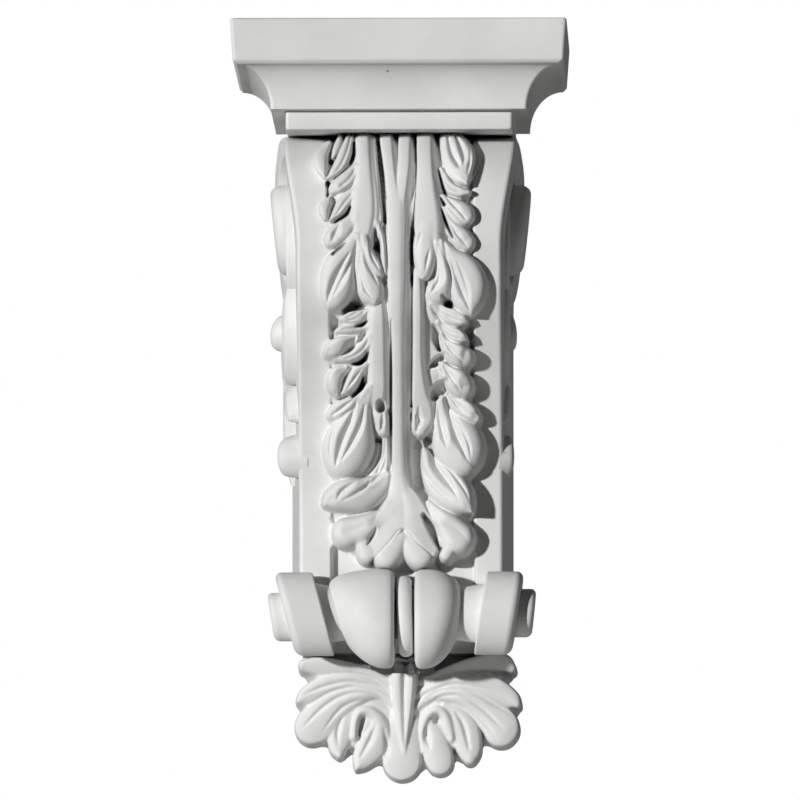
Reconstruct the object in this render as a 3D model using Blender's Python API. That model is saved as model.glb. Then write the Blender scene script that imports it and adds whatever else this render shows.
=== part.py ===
"""A moulded wall corbel: a stepped cap over an S-shaped body with two tiers of acanthus, a scrolled roll and a shell.

Lengths are millimetres until the mesh is made, which is in metres. X runs to the right, Z up, and the wall is the plane
Y = 0 with the whole casting in front of it, at negative Y. "out" is the distance in front of the wall.
"""

import bmesh
import bpy
import numpy as np
from mathutils import Matrix

MM = 0.001

# Cap: (distance out from the body's own outline, height) down the moulding, mitred round three sides.
CAP_TOP, FASCIA_FOOT, COVE_FOOT, SLAB_FOOT = 254.0, 224.6, 194.3, 181.6
CAP_HALF, CAP_OUT = 114.7, 197.0
FASCIA_TAPER, LIP, COVE_STEP, SLAB_STEP = 1.8, 2.6, 22.8, 10.0
CORNER = 2.5

# Body: the front line is an arc round the upper scroll, then an S through these (height, out) stations.
SCROLL_OUT, SCROLL_UP, SCROLL_RADIUS = 95.0, 112.5, 70.0
STATIONS = ((88.0, 160.6), (64.0, 150.6), (40.0, 133.6), (16.0, 115.0), (-10.0, 97.9), (-36.0, 85.6),
            (-62.0, 78.2), (-90.0, 74.9), (-140.0, 76.0))
BODY_FOOT = -168.0
BAND_HALF, BAND_HALF_TOP, WALL_HALF = 70.0, 79.0, 76.0
PANEL_HALF, PANEL_SLOPE, PANEL_SUNK = 50.0, 5.5, 7.0
GROUND = -9.5

# Roll across the foot: centre, and the radii of its members.
ROLL_OUT, ROLL_UP = 88.0, -144.6
DRUM_RADIUS, BELL_RADIUS, DISC_RADIUS, BOSS_RADIUS, NECK_RADIUS = 28.6, 34.0, 27.8, 16.6, 19.0

# Upper scroll's side: the turned band and the drum at its heart.
HEART_UP, HEART_RADIUS, HEART_TOP, HEART_FOOT = 118.0, 31.0, 90.0, 83.5

# How finely it is cut: sections along a leaf, points round the roll, the width over which a leaf has
# its flutes, and the triangles that the join is thinned to.
ALONG, SEGMENTS = 6, 18
FLUTED_OVER = 16.0
TRIANGLES = 9680

# Leaves: base, bend and tip as (x, height), then width, rise over the margins, where it is widest, and its flutes.
UPPER_LEFT = (
    ((-51, 170), (-64.5, 158.5), (-51, 146.5), 9, 10, 0.5, ()),
    ((-40.5, 181.5), (-44, 170.5), (-48.5, 161), 5, 11, 0.4, ()),
    ((-34, 181.5), (-38, 161), (-51.5, 146.5), 11.5, 13, 0.5, (-0.15,)),
    ((-31, 156), (-38.5, 145), (-51, 138), 10.5, 11, 0.55, (0.0,)),
    ((-32, 142.5), (-38.5, 137.5), (-44, 131), 5, 9, 0.4, ()),
    ((-39.5, 138), (-56.5, 128), (-51.5, 117), 10.5, 11, 0.6, ()),
    ((-32, 135), (-37.5, 123.5), (-50.5, 117.5), 8, 10, 0.55, (0.1,)),
    ((-30.5, 122.5), (-52.5, 115.5), (-50.5, 98.5), 16.5, 12, 0.5, (0.2,)),
    ((-30.5, 110), (-44, 89.5), (-52, 58), 24.5, 13, 0.62, (-1.5, 0.3)),
    ((-27.5, 100.5), (-29.5, 75), (-16, 61.5), 18, 11, 0.6, (-1.5, 0.35)),
    ((-21.5, 106), (-21, 89.5), (-12.5, 78.5), 10.5, 12, 0.55, (0.0,)),
)
UPPER_RIGHT = (
    ((32, 184), (50, 161), (47, 141.5), 23.5, 12, 0.5, (-1.5, 0.25)),
    ((25, 159), (32, 141.5), (49, 137), 10.5, 10, 0.55, (0.1,)),
    ((26.5, 137.5), (43, 132), (50, 113.5), 18, 12, 0.6, (-1.5, 0.3)),
    ((27, 124), (41.5, 112.5), (49, 95), 18, 12, 0.6, (-1.5, 0.3)),
    ((28, 110), (45, 89.5), (49.5, 53.5), 26, 13, 0.62, (-1.5, 0.25)),
    ((26.5, 102), (26.5, 77.5), (23, 60.5), 18.5, 11, 0.6, (-0.1,)),
    ((19.5, 107.5), (19, 89.5), (13, 78), 13.5, 11, 0.5, (-0.2,)),
)
LOWER_LEFT = (
    ((-20, 61), (-33.5, 52.5), (-44, 52.5), 11, 10, 0.55, (-1.5, 0.35)),
    ((-22.5, 50), (-33.5, 43.5), (-45.5, 44.5), 8, 10, 0.55, (0.1,)),
    ((-33.5, 41.5), (-51.5, 38.5), (-55.5, 29.5), 13.5, 12, 0.6, ()),
    ((-23, 38), (-35.5, 25.5), (-54.5, 29), 11.5, 10, 0.55, (0.0,)),
    ((-31.5, 24), (-52, 22), (-45, 1), 13.5, 12, 0.55, ()),
    ((-24, 19), (-31.5, 5), (-45, 1), 11.5, 11, 0.55, (0.0,)),
    ((-30, 2), (-47, -6.5), (-52, -15), 15, 11, 0.55, (0.0,)),
    ((-23.5, 1.5), (-39, -21), (-49, -51), 33, 14, 0.66, (-1.5, 0.25)),
    ((-18.5, -7.5), (-10, -15.5), (-14, -26), 11.5, 10, 0.5, (-0.2,)),
    ((-11.5, -23.5), (-12, -62), (-56.5, -72), 27.5, 13, 0.66, (-1.5, 0.3)),
)
LOWER_RIGHT = (
    ((19.5, 61.5), (32, 52.5), (45, 50.5), 11.5, 10, 0.55, (-1.5, 0.35)),
    ((23.5, 48), (34, 41), (46.5, 37.5), 11, 10, 0.55, (0.1,)),
    ((20.5, 35), (37, 31), (52, 21), 16.5, 12, 0.62, (-1.5, 0.3)),
    ((25.5, 23.5), (41, 14), (49, -1), 18.5, 12, 0.6, (-1.5, 0.25)),
    ((29.5, 5.5), (44.5, -5.5), (53.5, -17), 15, 11, 0.6, (-0.2,)),
    ((25.5, 3), (33.5, -26), (51, -50.5), 33, 14, 0.64, (-1.5, 0.2)),
    ((17.5, -1), (9, -14.5), (11, -26.5), 12.5, 10, 0.5, (0.1,)),
    ((12, -23.5), (17.5, -61), (51, -76), 27.5, 13, 0.62, (-1.5, 0.3)),
)
CREST = (
    ((-12, -74), (-35, -89.5), (-50, -90.5), 23.5, 11, 0.6, ()),
    ((-13.5, -90.5), (-25.5, -99), (-27, -109.5), 10.5, 10, 0.6, ()),
    ((-3, -86.5), (-12.5, -99), (-12, -114.5), 23.5, 13, 0.6, ()),
    ((2, -86.5), (11.5, -99), (13.5, -114), 23.5, 13, 0.6, ()),
    ((17, -86.5), (30.5, -99), (30, -112.5), 10.5, 10, 0.6, ()),
    ((17.5, -63), (40, -79.5), (45.5, -103.5), 23.5, 12, 0.62, (0.35,)),
)
SHELL = (
    ((-3.5, -179), (-40.5, -175), (-76, -176.5), 15, 9, 0.7, (0.0,)),
    ((-4, -193.5), (-40.5, -179), (-75.5, -201), 23.5, 10, 0.7, (-2.5, 0.3)),
    ((-4, -202.5), (-44, -188.5), (-69, -231), 30, 10, 0.72, (-2.5, 0.2)),
    ((-8.5, -208), (-38.5, -200), (-46.5, -240.5), 20.5, 9, 0.7, (0.1,)),
    ((-12.5, -214.5), (-26, -208), (-34, -249), 22, 9, 0.72, (0.2,)),
    ((-9.5, -200), (-7, -226.5), (-1, -253.5), 23.5, 9, 0.7, (0.25,)),
    ((7, -179), (44, -176.5), (79.5, -179.5), 15, 9, 0.7, (0.0,)),
    ((6.5, -194.5), (44, -181.5), (83, -203), 23.5, 10, 0.7, (-2.5, 0.3)),
    ((6.5, -204), (49.5, -192), (71, -234), 30, 10, 0.72, (-2.5, 0.35)),
    ((11, -209), (39.5, -204), (46.5, -245.5), 22, 9, 0.7, (0.1,)),
    ((13.5, -206.5), (17.5, -226.5), (27.5, -252), 22, 9, 0.7, (-0.3,)),
)
# Stems: (x, height, width, rise) down each one, then how much lower the right edge is.
STEMS = (
    (((-25, 184, 14, 9), (-24, 140, 15, 9.5), (-27, 118, 25, 9.5), (-29, 102, 26, 7), (-31, 90, 14, 1)), 0.35),
    (((-16.5, 184, 5, 6.5), (-15, 140, 6, 6.5), (-11.5, 110, 7, 7), (-9, 78, 4, 5)), 0.4),
    (((17.5, 184, 14, 9), (19, 140, 15, 9.5), (21.5, 118, 24, 9.5), (23.5, 102, 22, 7), (25.5, 90, 12, 1)), 0.5),
    (((-12.5, 184, 9, 8), (-9.5, 160, 9.5, 8), (-4.5, 135, 9, 7.5), (-2, 112, 8, 4)), 0.5),
    (((3.5, 184, 13, 8.5), (3.5, 160, 11, 8.5), (1.5, 135, 9, 8), (1, 112, 8, 4)), 0.6),
    (((-1, 146, 3, 5), (-1, 122, 14, 9), (-1, 60, 15.5, 9.5), (-1, 0, 14, 9.5), (0, -50, 16, 10),
      (-0.5, -74, 18, 12)), 0.5),
    (((-17.5, 76, 9, 5), (-16, 45, 14, 9.5), (-15.5, 5, 14, 9.5), (-20.5, -10, 18, 8), (-25.5, -22, 10, 2)), 0.4),
    (((12.5, 84, 9, 5), (14, 45, 16, 9), (14, 5, 18, 9), (18.5, -10, 18, 8), (23.5, -22, 10, 2)), 0.6),
    (((-1, -50, 16, 10), (-5.5, -78.5, 17, 13), (-15.5, -92.5, 12, 13.5), (-27.5, -106, 9, 11)), 0.0),
    (((1, -50, 16, 10), (7, -78.5, 18, 13), (15.5, -91, 11, 13.5), (26, -107, 6, 11)), 0.0),
)
SHELL_STEMS = (
    (((-4, -170, 9, 12), (-3.5, -200, 8, 12), (0, -240, 2.5, 9)), 0.2),
    (((6.5, -170, 10, 12), (4.5, -200, 8, 12), (0.5, -240, 2.5, 9)), 0.5),
)
# Side relief, in the plane of the side: base, bend and tip as (out, height), width, rise, widest and flutes.
SIDE_LEAVES = (
    ((60, 18), (100, 40), (112, 82), 30, 9.5, 0.5, (0.0,)),
    ((52, 16), (78, 28), (74, 58), 24, 11, 0.5, (-0.2,)),
    ((46, 2), (76, 4), (90, -12), 24, 8.5, 0.55, (0.0,)),
    ((38, -18), (28, 10), (34, 44), 22, 9, 0.6, (0.0,)),
    ((36, -34), (54, -24), (66, -40), 22, 9, 0.55, (0.0,)),
)
SIDE_STEMS = (
    (((28, -60, 8, 5), (38, -30, 13, 9), (54, 5, 15, 9.5), (70, 32, 12, 8), (84, 52, 7, 6)), 0.0),
)


def line_out(z):
    """How far out the margins lie at height z: the scroll's arc, then a smooth curve through the stations."""
    z = np.asarray(z, float)
    heights, outs = np.array(STATIONS[::-1]).T
    slopes = np.gradient(outs, heights)
    slopes[-1] = -(heights[-1] - SCROLL_UP) / (outs[-1] - SCROLL_OUT)
    k = np.clip(np.searchsorted(heights, z) - 1, 0, len(heights) - 2)
    step = heights[k + 1] - heights[k]
    t = np.clip((z - heights[k]) / step, 0, 1)
    cubic = ((1 + 2 * t) * (1 - t) ** 2 * outs[k] + t * (1 - t) ** 2 * step * slopes[k]
             + t * t * (3 - 2 * t) * outs[k + 1] + t * t * (t - 1) * step * slopes[k + 1])
    arc = SCROLL_OUT + np.sqrt(np.maximum(SCROLL_RADIUS**2 - (z - SCROLL_UP) ** 2, 0))
    return np.where(z > heights[-1], arc, cubic)


def front(x, z, h):
    """A point h above the margins, measured square to them: true to the arc above its centre, by slope below it."""
    slope = (line_out(z + 1) - line_out(z - 1)) / 2
    lower = line_out(z) + h * np.sqrt(1 + np.minimum(slope, 3) ** 2)
    upper = SCROLL_OUT + np.sqrt(np.maximum((SCROLL_RADIUS + h) ** 2 - (z - SCROLL_UP) ** 2, 0))
    return np.stack([x, -np.where(z > SCROLL_UP, upper, lower), z], -1)


def shell_front(x, z, h):
    """A point h in front of the shell's ground, which leans back to the wall as it falls; below 0 it is in the wall."""
    ground = np.interp(z, (-256, -230, -205, -180, -165), (20, 24, 32, 44, 54))
    return np.stack([x, -np.where(h < 0, -6.0, ground + h), z], -1)


def left_side(u, v, h):
    return np.stack([-(72 + h), -u, v], -1)


def right_side(u, v, h):
    return np.stack([72 + 0.85 * h, -u, v], -1)


def closed_loft(rings):
    """A closed shell through rings of the same point count, each one a closed section, with both ends filled."""
    rings = np.asarray(rings, float)
    count, size = rings.shape[:2]
    at = np.arange(count * size).reshape(count, size)
    after = np.roll(at, -1, axis=1)
    faces = np.stack([at[:-1], after[:-1], after[1:], at[1:]], -1).reshape(-1, 4).tolist()
    faces += [at[0][::-1].tolist(), at[-1].tolist()]
    return rings.reshape(-1, 3), faces


def bump(t, low=0.0, high=1.0):
    t = np.clip((np.asarray(t, float) - low) / (high - low), 0, 1)
    return t * t * (3 - 2 * t)


def section(half, top, flutes, fade, depth, ground):
    """Across one leaf: a crowned top with flutes, walls that spread by a fifth of their height, and a buried foot."""
    between = (0.0,) if not flutes else tuple(flutes[0] + offset for offset in (-0.35, 0.0, 0.35))
    if len(flutes) == 2:
        between = (flutes[0], sum(flutes) / 2, flutes[1])
    u = np.array((-1.0, -0.72, *between, 0.72, 1.0))
    h = top * (1 - 0.34 * np.abs(u) ** 3)
    for flute in flutes:
        h = h - depth * fade * np.exp(-(((u - flute) / 0.16) ** 2))
    spread = 0.2 * (h[[-1, 0]] - ground)
    side = np.concatenate([half * u, [half + spread[0], -half - spread[1]]])
    return side, np.concatenate([h, [ground, ground]])


def leaf(base, bend, tip, width, rise, widest, flutes, place, ground=GROUND):
    """One lobe: a section swept along a curve from base to tip, swelling to its widest and rounding off at the tip."""
    s = 1 - (1 - np.linspace(0, 1, ALONG)) ** 1.5
    flutes = flutes if width > FLUTED_OVER else ()
    base, bend, tip = (np.array(p, float) for p in (base, bend, tip))
    t = s[:, None]
    centre = (1 - t) ** 2 * base + 2 * t * (1 - t) * bend + t * t * tip
    way = 2 * (1 - t) * (bend - base) + 2 * t * (tip - bend)
    way /= np.linalg.norm(way, axis=1, keepdims=True)
    across = np.stack([-way[:, 1], way[:, 0]], -1)
    past = np.clip((s - widest) / (1 - widest), 0, 1)
    half = width / 2 * (0.36 + 0.64 * bump(s, 0, widest)) * np.sqrt(1 - 0.985 * past**2.4)
    top = rise * (0.62 + 0.38 * bump(s, 0, 0.75)) * (1 - 0.3 * past**4)
    fade = bump(s, 0, 0.2) * (1 - bump(s, 0.78, 0.97))
    rings = []
    for i in range(ALONG):
        side, h = section(half[i], top[i], flutes, fade[i], 0.28 * rise, ground)
        # The section runs to the walker's left first, so that the shell faces out.
        x = centre[i, 0] - side * across[i, 0]
        z = centre[i, 1] - side * across[i, 1]
        rings.append(place(x, z, h))
    return closed_loft(rings)


def stem(path, lower_right, place, ground=GROUND):
    """A ridge down a path of (x, height, width, rise), with a softly crowned top that falls away to the right."""
    path = np.array(path, float)
    t = np.linspace(0, len(path) - 1, max(ALONG - 1, 2 * len(path)))
    x, z, width, rise = (smooth_through(path[:, i], t) for i in range(4))
    way = np.gradient(np.stack([x, z], -1), axis=0)
    way /= np.linalg.norm(way, axis=1, keepdims=True)
    across = np.stack([-way[:, 1], way[:, 0]], -1)
    rings = []
    for i in range(len(t)):
        side, h = section(width[i] / 2, rise[i], (), 1.0, 0.0, ground)
        h = np.where(h > ground, h * (1 - lower_right * np.clip(side / (width[i] / 2), 0, 1)), h)
        rings.append(place(x[i] + side * across[i, 0], z[i] + side * across[i, 1], h)[::-1])
    return closed_loft(rings)


def smooth_through(values, t):
    """A curve through evenly spaced values, its slope at each the mean of its neighbours'."""
    slopes = np.gradient(values)
    k = np.clip(t.astype(int), 0, len(values) - 2)
    f = t - k
    return ((1 + 2 * f) * (1 - f) ** 2 * values[k] + f * (1 - f) ** 2 * slopes[k]
            + f * f * (3 - 2 * f) * values[k + 1] + f * f * (f - 1) * slopes[k + 1])


def turned(profile, up, segments=SEGMENTS):
    """A solid of revolution round the roll's axis from (x, radius, lean), the lean being its shift over the drum's radius."""
    angle = np.linspace(0, 2 * np.pi, segments, endpoint=False)
    rings = []
    for x, radius, lean in profile:
        across = np.full(segments, float(x)) - lean * np.sin(angle) * radius / DRUM_RADIUS
        rings.append(np.stack([across, -(ROLL_OUT + radius * np.cos(angle)), up + radius * np.sin(angle)], -1))
    return closed_loft(rings)


def body():
    """Sections at each height, from the wall round the margins and down into the sunk panel between them."""
    heights = np.concatenate([
        SCROLL_UP + SCROLL_RADIUS * np.sin(np.radians([90, 72, 54, 36, 18, 0, -10])),
        np.linspace(88, -110, 11), [-125, -140, -155, BODY_FOOT]])
    outs = np.array(line_out(heights))
    outs[-4:] = (72, 66, 58, 50)
    rings = []
    for z, out in zip(heights, outs):
        wide = BAND_HALF + (BAND_HALF_TOP - BAND_HALF) * bump(z, 100, 182) - 4 * bump(-z, 110, 160)
        wall = WALL_HALF + (BAND_HALF_TOP + 2 - WALL_HALF) * bump(z, 60, 182) - 7 * bump(-z, 110, 160)
        sunk = PANEL_SUNK * bump(182.5 - z, 0, 20)
        x = [-wall, wall, wall, wide, wide - 3, PANEL_HALF, PANEL_HALF - PANEL_SLOPE,
             PANEL_SLOPE - PANEL_HALF, -PANEL_HALF, -wide + 3, -wide, -wall]
        y = [8, 8, -10, -out + 3, -out, -out, -out + sunk, -out + sunk, -out, -out, -out + 3, -10]
        rings.append(np.stack([x, y, np.full(12, z)], -1))
    return closed_loft(rings)


def cap():
    """The cap: one mitred outline, stepped in by the moulding's profile at each height."""
    cove = np.linspace(0, np.pi / 2, 7)
    cove_top = FASCIA_FOOT - 1.5
    profile = [(0, CAP_TOP), (FASCIA_TAPER, FASCIA_FOOT), (FASCIA_TAPER + LIP, cove_top)]
    foot = FASCIA_TAPER + LIP
    profile += [(foot + COVE_STEP * np.sin(a), COVE_FOOT + (cove_top - COVE_FOOT) * (1 - (1 - np.cos(a))) ** 1.0)
                for a in cove[1:]]
    inner = foot + COVE_STEP
    profile += [(inner + SLAB_STEP, COVE_FOOT), (inner + SLAB_STEP, SLAB_FOOT - 2.0)]
    turn = np.linspace(0, np.pi / 2, 3)
    rings = []
    for inset, z in profile:
        half, out = CAP_HALF - inset, CAP_OUT - inset
        r = CORNER
        right = [(half - r + r * np.cos(a), -(out - r + r * np.sin(a))) for a in turn]
        outline = [(half, 8.0)] + right + [(-x, y) for x, y in right[::-1]] + [(-half, 8.0)]
        rings.append([(x, y, z) for x, y in outline])
    return closed_loft(np.array(rings)[:, ::-1])


def drum(side):
    """The scroll's heart: a drum that leans out toward its top, with a dished face and a boss."""
    angle = np.linspace(0, 2 * np.pi, 20, endpoint=False)
    face = (HEART_TOP + HEART_FOOT) / 2
    lean = (HEART_TOP - HEART_FOOT) / 2
    rings = []
    for radius, drop in ((31, None), (31, 3.0), (30, 0.8), (28, 0), (22, 0), (19, 4), (12, 5), (9, 1), (5, 0)):
        x = np.full(20, 50.0) if drop is None else face - drop + lean * np.sin(angle) * radius / HEART_RADIUS
        rings.append(np.stack([side * x, -(SCROLL_OUT + radius * np.cos(angle)), HEART_UP + radius * np.sin(angle)], -1))
    return closed_loft(rings if side < 0 else np.array(rings)[:, ::-1])


def turned_band(side):
    """The band carried on round the side as a narrowing, rising horn that winds in to the drum."""
    turn = np.radians(np.linspace(38, 430, 18))
    part = (turn - turn[0]) / (turn[-1] - turn[0])
    outer = np.interp(turn, np.radians((38, 90, 180, 270, 360, 430)), (69.6, 69.6, 62, 44, 37, 33))
    inner = outer - np.interp(part, (0, 0.3, 1), (10, 20, 9))
    high = np.interp(turn, np.radians((38, 90, 135, 190, 270, 430)), (70.5, 79.0, 85.2, 85.5, 79, 80))
    rings = []
    for a, far, near, top in zip(turn, outer, inner, high):
        radius = np.array([far, far, far - 2.5, (far + near) / 2, near + 2.5, near, near])
        x = np.array([50, top - 2.5, top, top - 1.5, top - 1, top - 4, 50])
        rings.append(np.stack([side * x, -(SCROLL_OUT + radius * np.cos(a)), SCROLL_UP + radius * np.sin(a)], -1))
    return closed_loft(rings if side > 0 else np.array(rings)[:, ::-1])


def box(x0, x1, out0, out1, z0, z1):
    return closed_loft([[(x0, -out0, z), (x1, -out0, z), (x1, -out1, z), (x0, -out1, z)][::-1] for z in (z0, z1)][::-1])


def bell(start, end, lean):
    """Half an egg on the roll's axis, blunt at `end` and rounded off, and leaning, toward `start`."""
    part = np.array((0.0, 0.05, 0.16, 0.34, 0.6, 0.92, 1.0))
    radius = BELL_RADIUS * (1 - np.clip(1 - part / 0.72, 0, 1) ** 2.3) ** 0.46
    radius[0], radius[-1] = 7, BELL_RADIUS - 3.5
    return [(start + (end - start) * p, r, lean * (1 - p) ** 0.7) for p, r in zip(part, radius)]


def roll():
    """The members along the roll: necks, then on each side a boss, a drum and a bell, with a disc between the bells."""
    drum_r, boss_r = DRUM_RADIUS, BOSS_RADIUS
    return [
        turned([(-60, NECK_RADIUS, 0), (-44, 17, 0), (44, 17, 0), (62, NECK_RADIUS + 3, 0)], ROLL_UP),
        turned([(-87, 12, 4.5), (-85.5, 15.5, 4.5), (-83, boss_r, 4.5), (-50, boss_r, 4.5)], ROLL_UP - 2),
        turned([(-79, 25.5, 7.5), (-76.5, drum_r, 7.5), (-55.5, drum_r, 7.5), (-53, 25.5, 7.5)], ROLL_UP),
        turned(bell(-51, -4.2, 8.5), ROLL_UP - 3.4),
        turned([(-2.6, 24.5, 0.8), (-0.4, DISC_RADIUS, 0.8), (6.2, DISC_RADIUS, 0.8), (8.2, 24.5, 0.8)], ROLL_UP - 1.6),
        turned(bell(43.5, 9.6, -4.0)[::-1], ROLL_UP - 3.4),
        turned([(55, 25.5, -4.5), (57.5, drum_r, -4.5), (77.5, drum_r, -4.5), (80, 25.5, -4.5)], ROLL_UP + 0.5),
        turned([(50, boss_r, -3), (88, boss_r, -3), (90.5, 15.5, -3), (92, 12, -3)], ROLL_UP + 0.5),
    ]


def shells():
    """Every closed shell that the casting is the union of."""
    found = [body(), cap(), box(-79, 79, -8, 103, 170, 183), *roll()]
    found += [drum(-1), drum(1), turned_band(-1), turned_band(1)]
    for rows in (UPPER_LEFT, UPPER_RIGHT, LOWER_LEFT, LOWER_RIGHT, CREST):
        found += [leaf(*row, front) for row in rows]
    found += [stem(*row, front) for row in STEMS]
    found += [leaf(*row, shell_front, -1.0) for row in SHELL]
    found += [stem(*row, shell_front, -1.0) for row in SHELL_STEMS]
    found += [leaf(*row, left_side, -8.0) for row in SIDE_LEAVES]
    found += [leaf(*row, right_side, -8.0) for row in SIDE_LEAVES]
    found += [stem(*row, place, -8.0) for row in SIDE_STEMS for place in (left_side, right_side)]
    found.append(box(-60, 60, -8, 40, -185, -150))
    return found


def outward(points, faces):
    """A mesh of the shell with its faces turned outward."""
    mesh = bmesh.new()
    made = [mesh.verts.new(tuple(p)) for p in points * MM]
    for face in faces:
        mesh.faces.new([made[i] for i in face])
    bmesh.ops.triangulate(mesh, faces=mesh.faces[:])
    if mesh.calc_volume(signed=True) < 0:
        bmesh.ops.reverse_faces(mesh, faces=mesh.faces[:])
    return mesh


def placed(name, mesh):
    made = bpy.data.objects.new(name, mesh)
    bpy.context.scene.collection.objects.link(made)
    return made


def solid(name, points, faces):
    """One shell as an object that only serves the joins: not rendered, and shown as wire."""
    mesh = bpy.data.meshes.new(name)
    shape = outward(points, faces)
    shape.to_mesh(mesh)
    shape.free()
    made = placed(name, mesh)
    made.hide_render = True
    made.display_type = "WIRE"
    return made


def joined(pieces):
    """The union of all the shells as one mesh."""
    first, *others = [solid(f"piece_{number:02d}", *piece) for number, piece in enumerate(pieces)]
    group = bpy.data.collections.new("joined")
    bpy.context.scene.collection.children.link(group)
    for other in others:
        bpy.context.scene.collection.objects.unlink(other)
        group.objects.link(other)
    union = first.modifiers.new("union", "BOOLEAN")
    union.operation = "UNION"
    union.solver = "MANIFOLD"
    union.operand_type = "COLLECTION"
    union.collection = group
    mesh = bpy.data.meshes.new_from_object(first.evaluated_get(bpy.context.evaluated_depsgraph_get()))
    for piece in (first, *others):
        bpy.data.objects.remove(piece, do_unlink=True)
    bpy.data.collections.remove(group)
    return mesh


def keep_outside(mesh):
    """Drops every shell of the mesh but its largest: the small ones are pockets sealed between pieces."""
    shape = bmesh.new()
    shape.from_mesh(mesh)
    bmesh.ops.triangulate(shape, faces=shape.faces[:])
    unseen = set(shape.faces)
    largest = set()
    while unseen:
        shell, edge = set(), [unseen.pop()]
        while edge:
            face = edge.pop()
            shell.add(face)
            near = {other for side in face.edges for other in side.link_faces} & unseen
            unseen -= near
            edge.extend(near)
        largest = max(largest, shell, key=len)
    bmesh.ops.delete(shape, geom=[face for face in shape.faces if face not in largest], context="FACES")
    shape.to_mesh(mesh)
    shape.free()


def primed():
    material = bpy.data.materials.new("primed_white")
    material.use_nodes = True
    shader = material.node_tree.nodes["Principled BSDF"]
    shader.inputs["Base Color"].default_value = (0.78, 0.78, 0.77, 1.0)
    shader.inputs["Roughness"].default_value = 0.55
    return material


for old in list(bpy.data.objects):
    bpy.data.objects.remove(old, do_unlink=True)

casting = joined(shells())
keep_outside(casting)
casting.materials.clear()
casting.materials.append(primed())
corbel = placed("corbel", casting)

thin = corbel.modifiers.new("thin", "DECIMATE")
thin.ratio = TRIANGLES / len(casting.polygons)

wall = solid("wall", *box(-300, 300, -60, 0, -400, 400))
trim = corbel.modifiers.new("wall face", "BOOLEAN")
trim.operation = "DIFFERENCE"
trim.solver = "MANIFOLD"
trim.object = wall
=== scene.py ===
# %% [markdown]
# # Wall corbel
#
# A corbel of this pattern is moulded in one piece: a stepped cap, an S-shaped body with two tiers of
# acanthus leaves, a roll across the foot and a shell of petals below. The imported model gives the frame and
# the sizes. This notebook makes the fine version of the same casting as one mesh. Each main form is a
# closed skin worked out from arrays. The skins are joined, cut flat at the wall and primed white.
#
# Lengths are millimetres until a mesh is made, which is in metres. X runs to the right and Z up. The wall
# is the plane Y = 0 and the casting is in front of it, at negative Y. "Out" is the distance in front of the
# wall.

# %% Load the frame
import bmesh
import bpy
import numpy as np
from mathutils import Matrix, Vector


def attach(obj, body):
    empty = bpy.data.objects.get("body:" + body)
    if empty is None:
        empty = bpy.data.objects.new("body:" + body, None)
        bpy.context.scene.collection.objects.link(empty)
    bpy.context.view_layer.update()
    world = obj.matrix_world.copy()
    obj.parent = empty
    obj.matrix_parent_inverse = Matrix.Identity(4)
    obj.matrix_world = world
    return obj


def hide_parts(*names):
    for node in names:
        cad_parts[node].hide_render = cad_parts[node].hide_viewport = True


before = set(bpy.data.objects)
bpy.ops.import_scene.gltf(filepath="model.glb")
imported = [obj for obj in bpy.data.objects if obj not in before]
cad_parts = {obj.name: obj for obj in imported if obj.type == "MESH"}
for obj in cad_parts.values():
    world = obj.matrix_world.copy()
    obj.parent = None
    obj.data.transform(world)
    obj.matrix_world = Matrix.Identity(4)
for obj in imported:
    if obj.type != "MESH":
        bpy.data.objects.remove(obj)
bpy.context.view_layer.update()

MM = 0.001

# %% [markdown]
# ## Camera
#
# The photograph was taken from far away, a little below the corbel and one degree to its right. From so far
# the view is nearly parallel: the cap hardly looks larger at its front than at the wall. An orthographic
# camera would come close, but a long lens 15 m away keeps the little perspective that is left.

# %% Camera
VIEW_RIGHT, VIEW_BELOW = np.radians(1.0), np.radians(5.2)
AIM_RIGHT, AIM_UP = -2.2, 10.4
# In metres: the distance to the plane SCALE_OUT in front of the wall, and the width of the frame there.
DISTANCE, FRAME_WIDTH = 15.2, 0.5472
SCALE_OUT = 100.0
SENSOR, FAR = 36.0, 200.0

toward_camera = Vector((np.sin(VIEW_RIGHT) * np.cos(VIEW_BELOW), -np.cos(VIEW_RIGHT) * np.cos(VIEW_BELOW),
                        -np.sin(VIEW_BELOW)))
aim = Vector((AIM_RIGHT * MM, 0.0, AIM_UP * MM))
lens = bpy.data.cameras.new("camera")
lens.sensor_width = SENSOR
lens.lens = SENSOR * DISTANCE / FRAME_WIDTH
lens.clip_end = FAR
camera = bpy.data.objects.new("camera", lens)
camera.location = aim + toward_camera * (DISTANCE + SCALE_OUT * MM)
camera.rotation_euler = (-toward_camera).to_track_quat("-Z", "Y").to_euler()
bpy.context.scene.collection.objects.link(camera)
bpy.context.scene.camera = camera
print("lens", round(lens.lens), "mm")

# %% [markdown]
# ## Floor
#
# A plain pale floor lies well below, out of the photograph's frame. It catches light and nothing else. A
# flat colour would do, and a faint cloud in it keeps large views from looking painted. The two helpers
# serve the primer as well.

# %% Node helper and colour
def add(tree, kind, x, y, **inputs):
    """A new node at (x, y) with the sockets named in `inputs` set; an underscore stands for a space."""
    node = tree.nodes.new(kind)
    node.location = (x, y)
    for name, value in inputs.items():
        node.inputs[name.replace("_", " ")].default_value = value
    return node


def colour(code):
    """Linear RGBA of an sRGB hex code: each channel c becomes ((c + 0.055) / 1.055) ** 2.4."""
    parts = [int(code[i:i + 2], 16) / 255 for i in (0, 2, 4)]
    return tuple(((c + 0.055) / 1.055) ** 2.4 if c > 0.04 else c / 12.92 for c in parts) + (1.0,)


FLOOR_DARK, FLOOR_LIGHT = colour("e6e5e2"), colour("efeeec")
print("floor from", [round(c, 3) for c in FLOOR_DARK], "to", [round(c, 3) for c in FLOOR_LIGHT])

# %% Floor
FLOOR_UP, FLOOR_HALF = -1.7, 3

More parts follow.
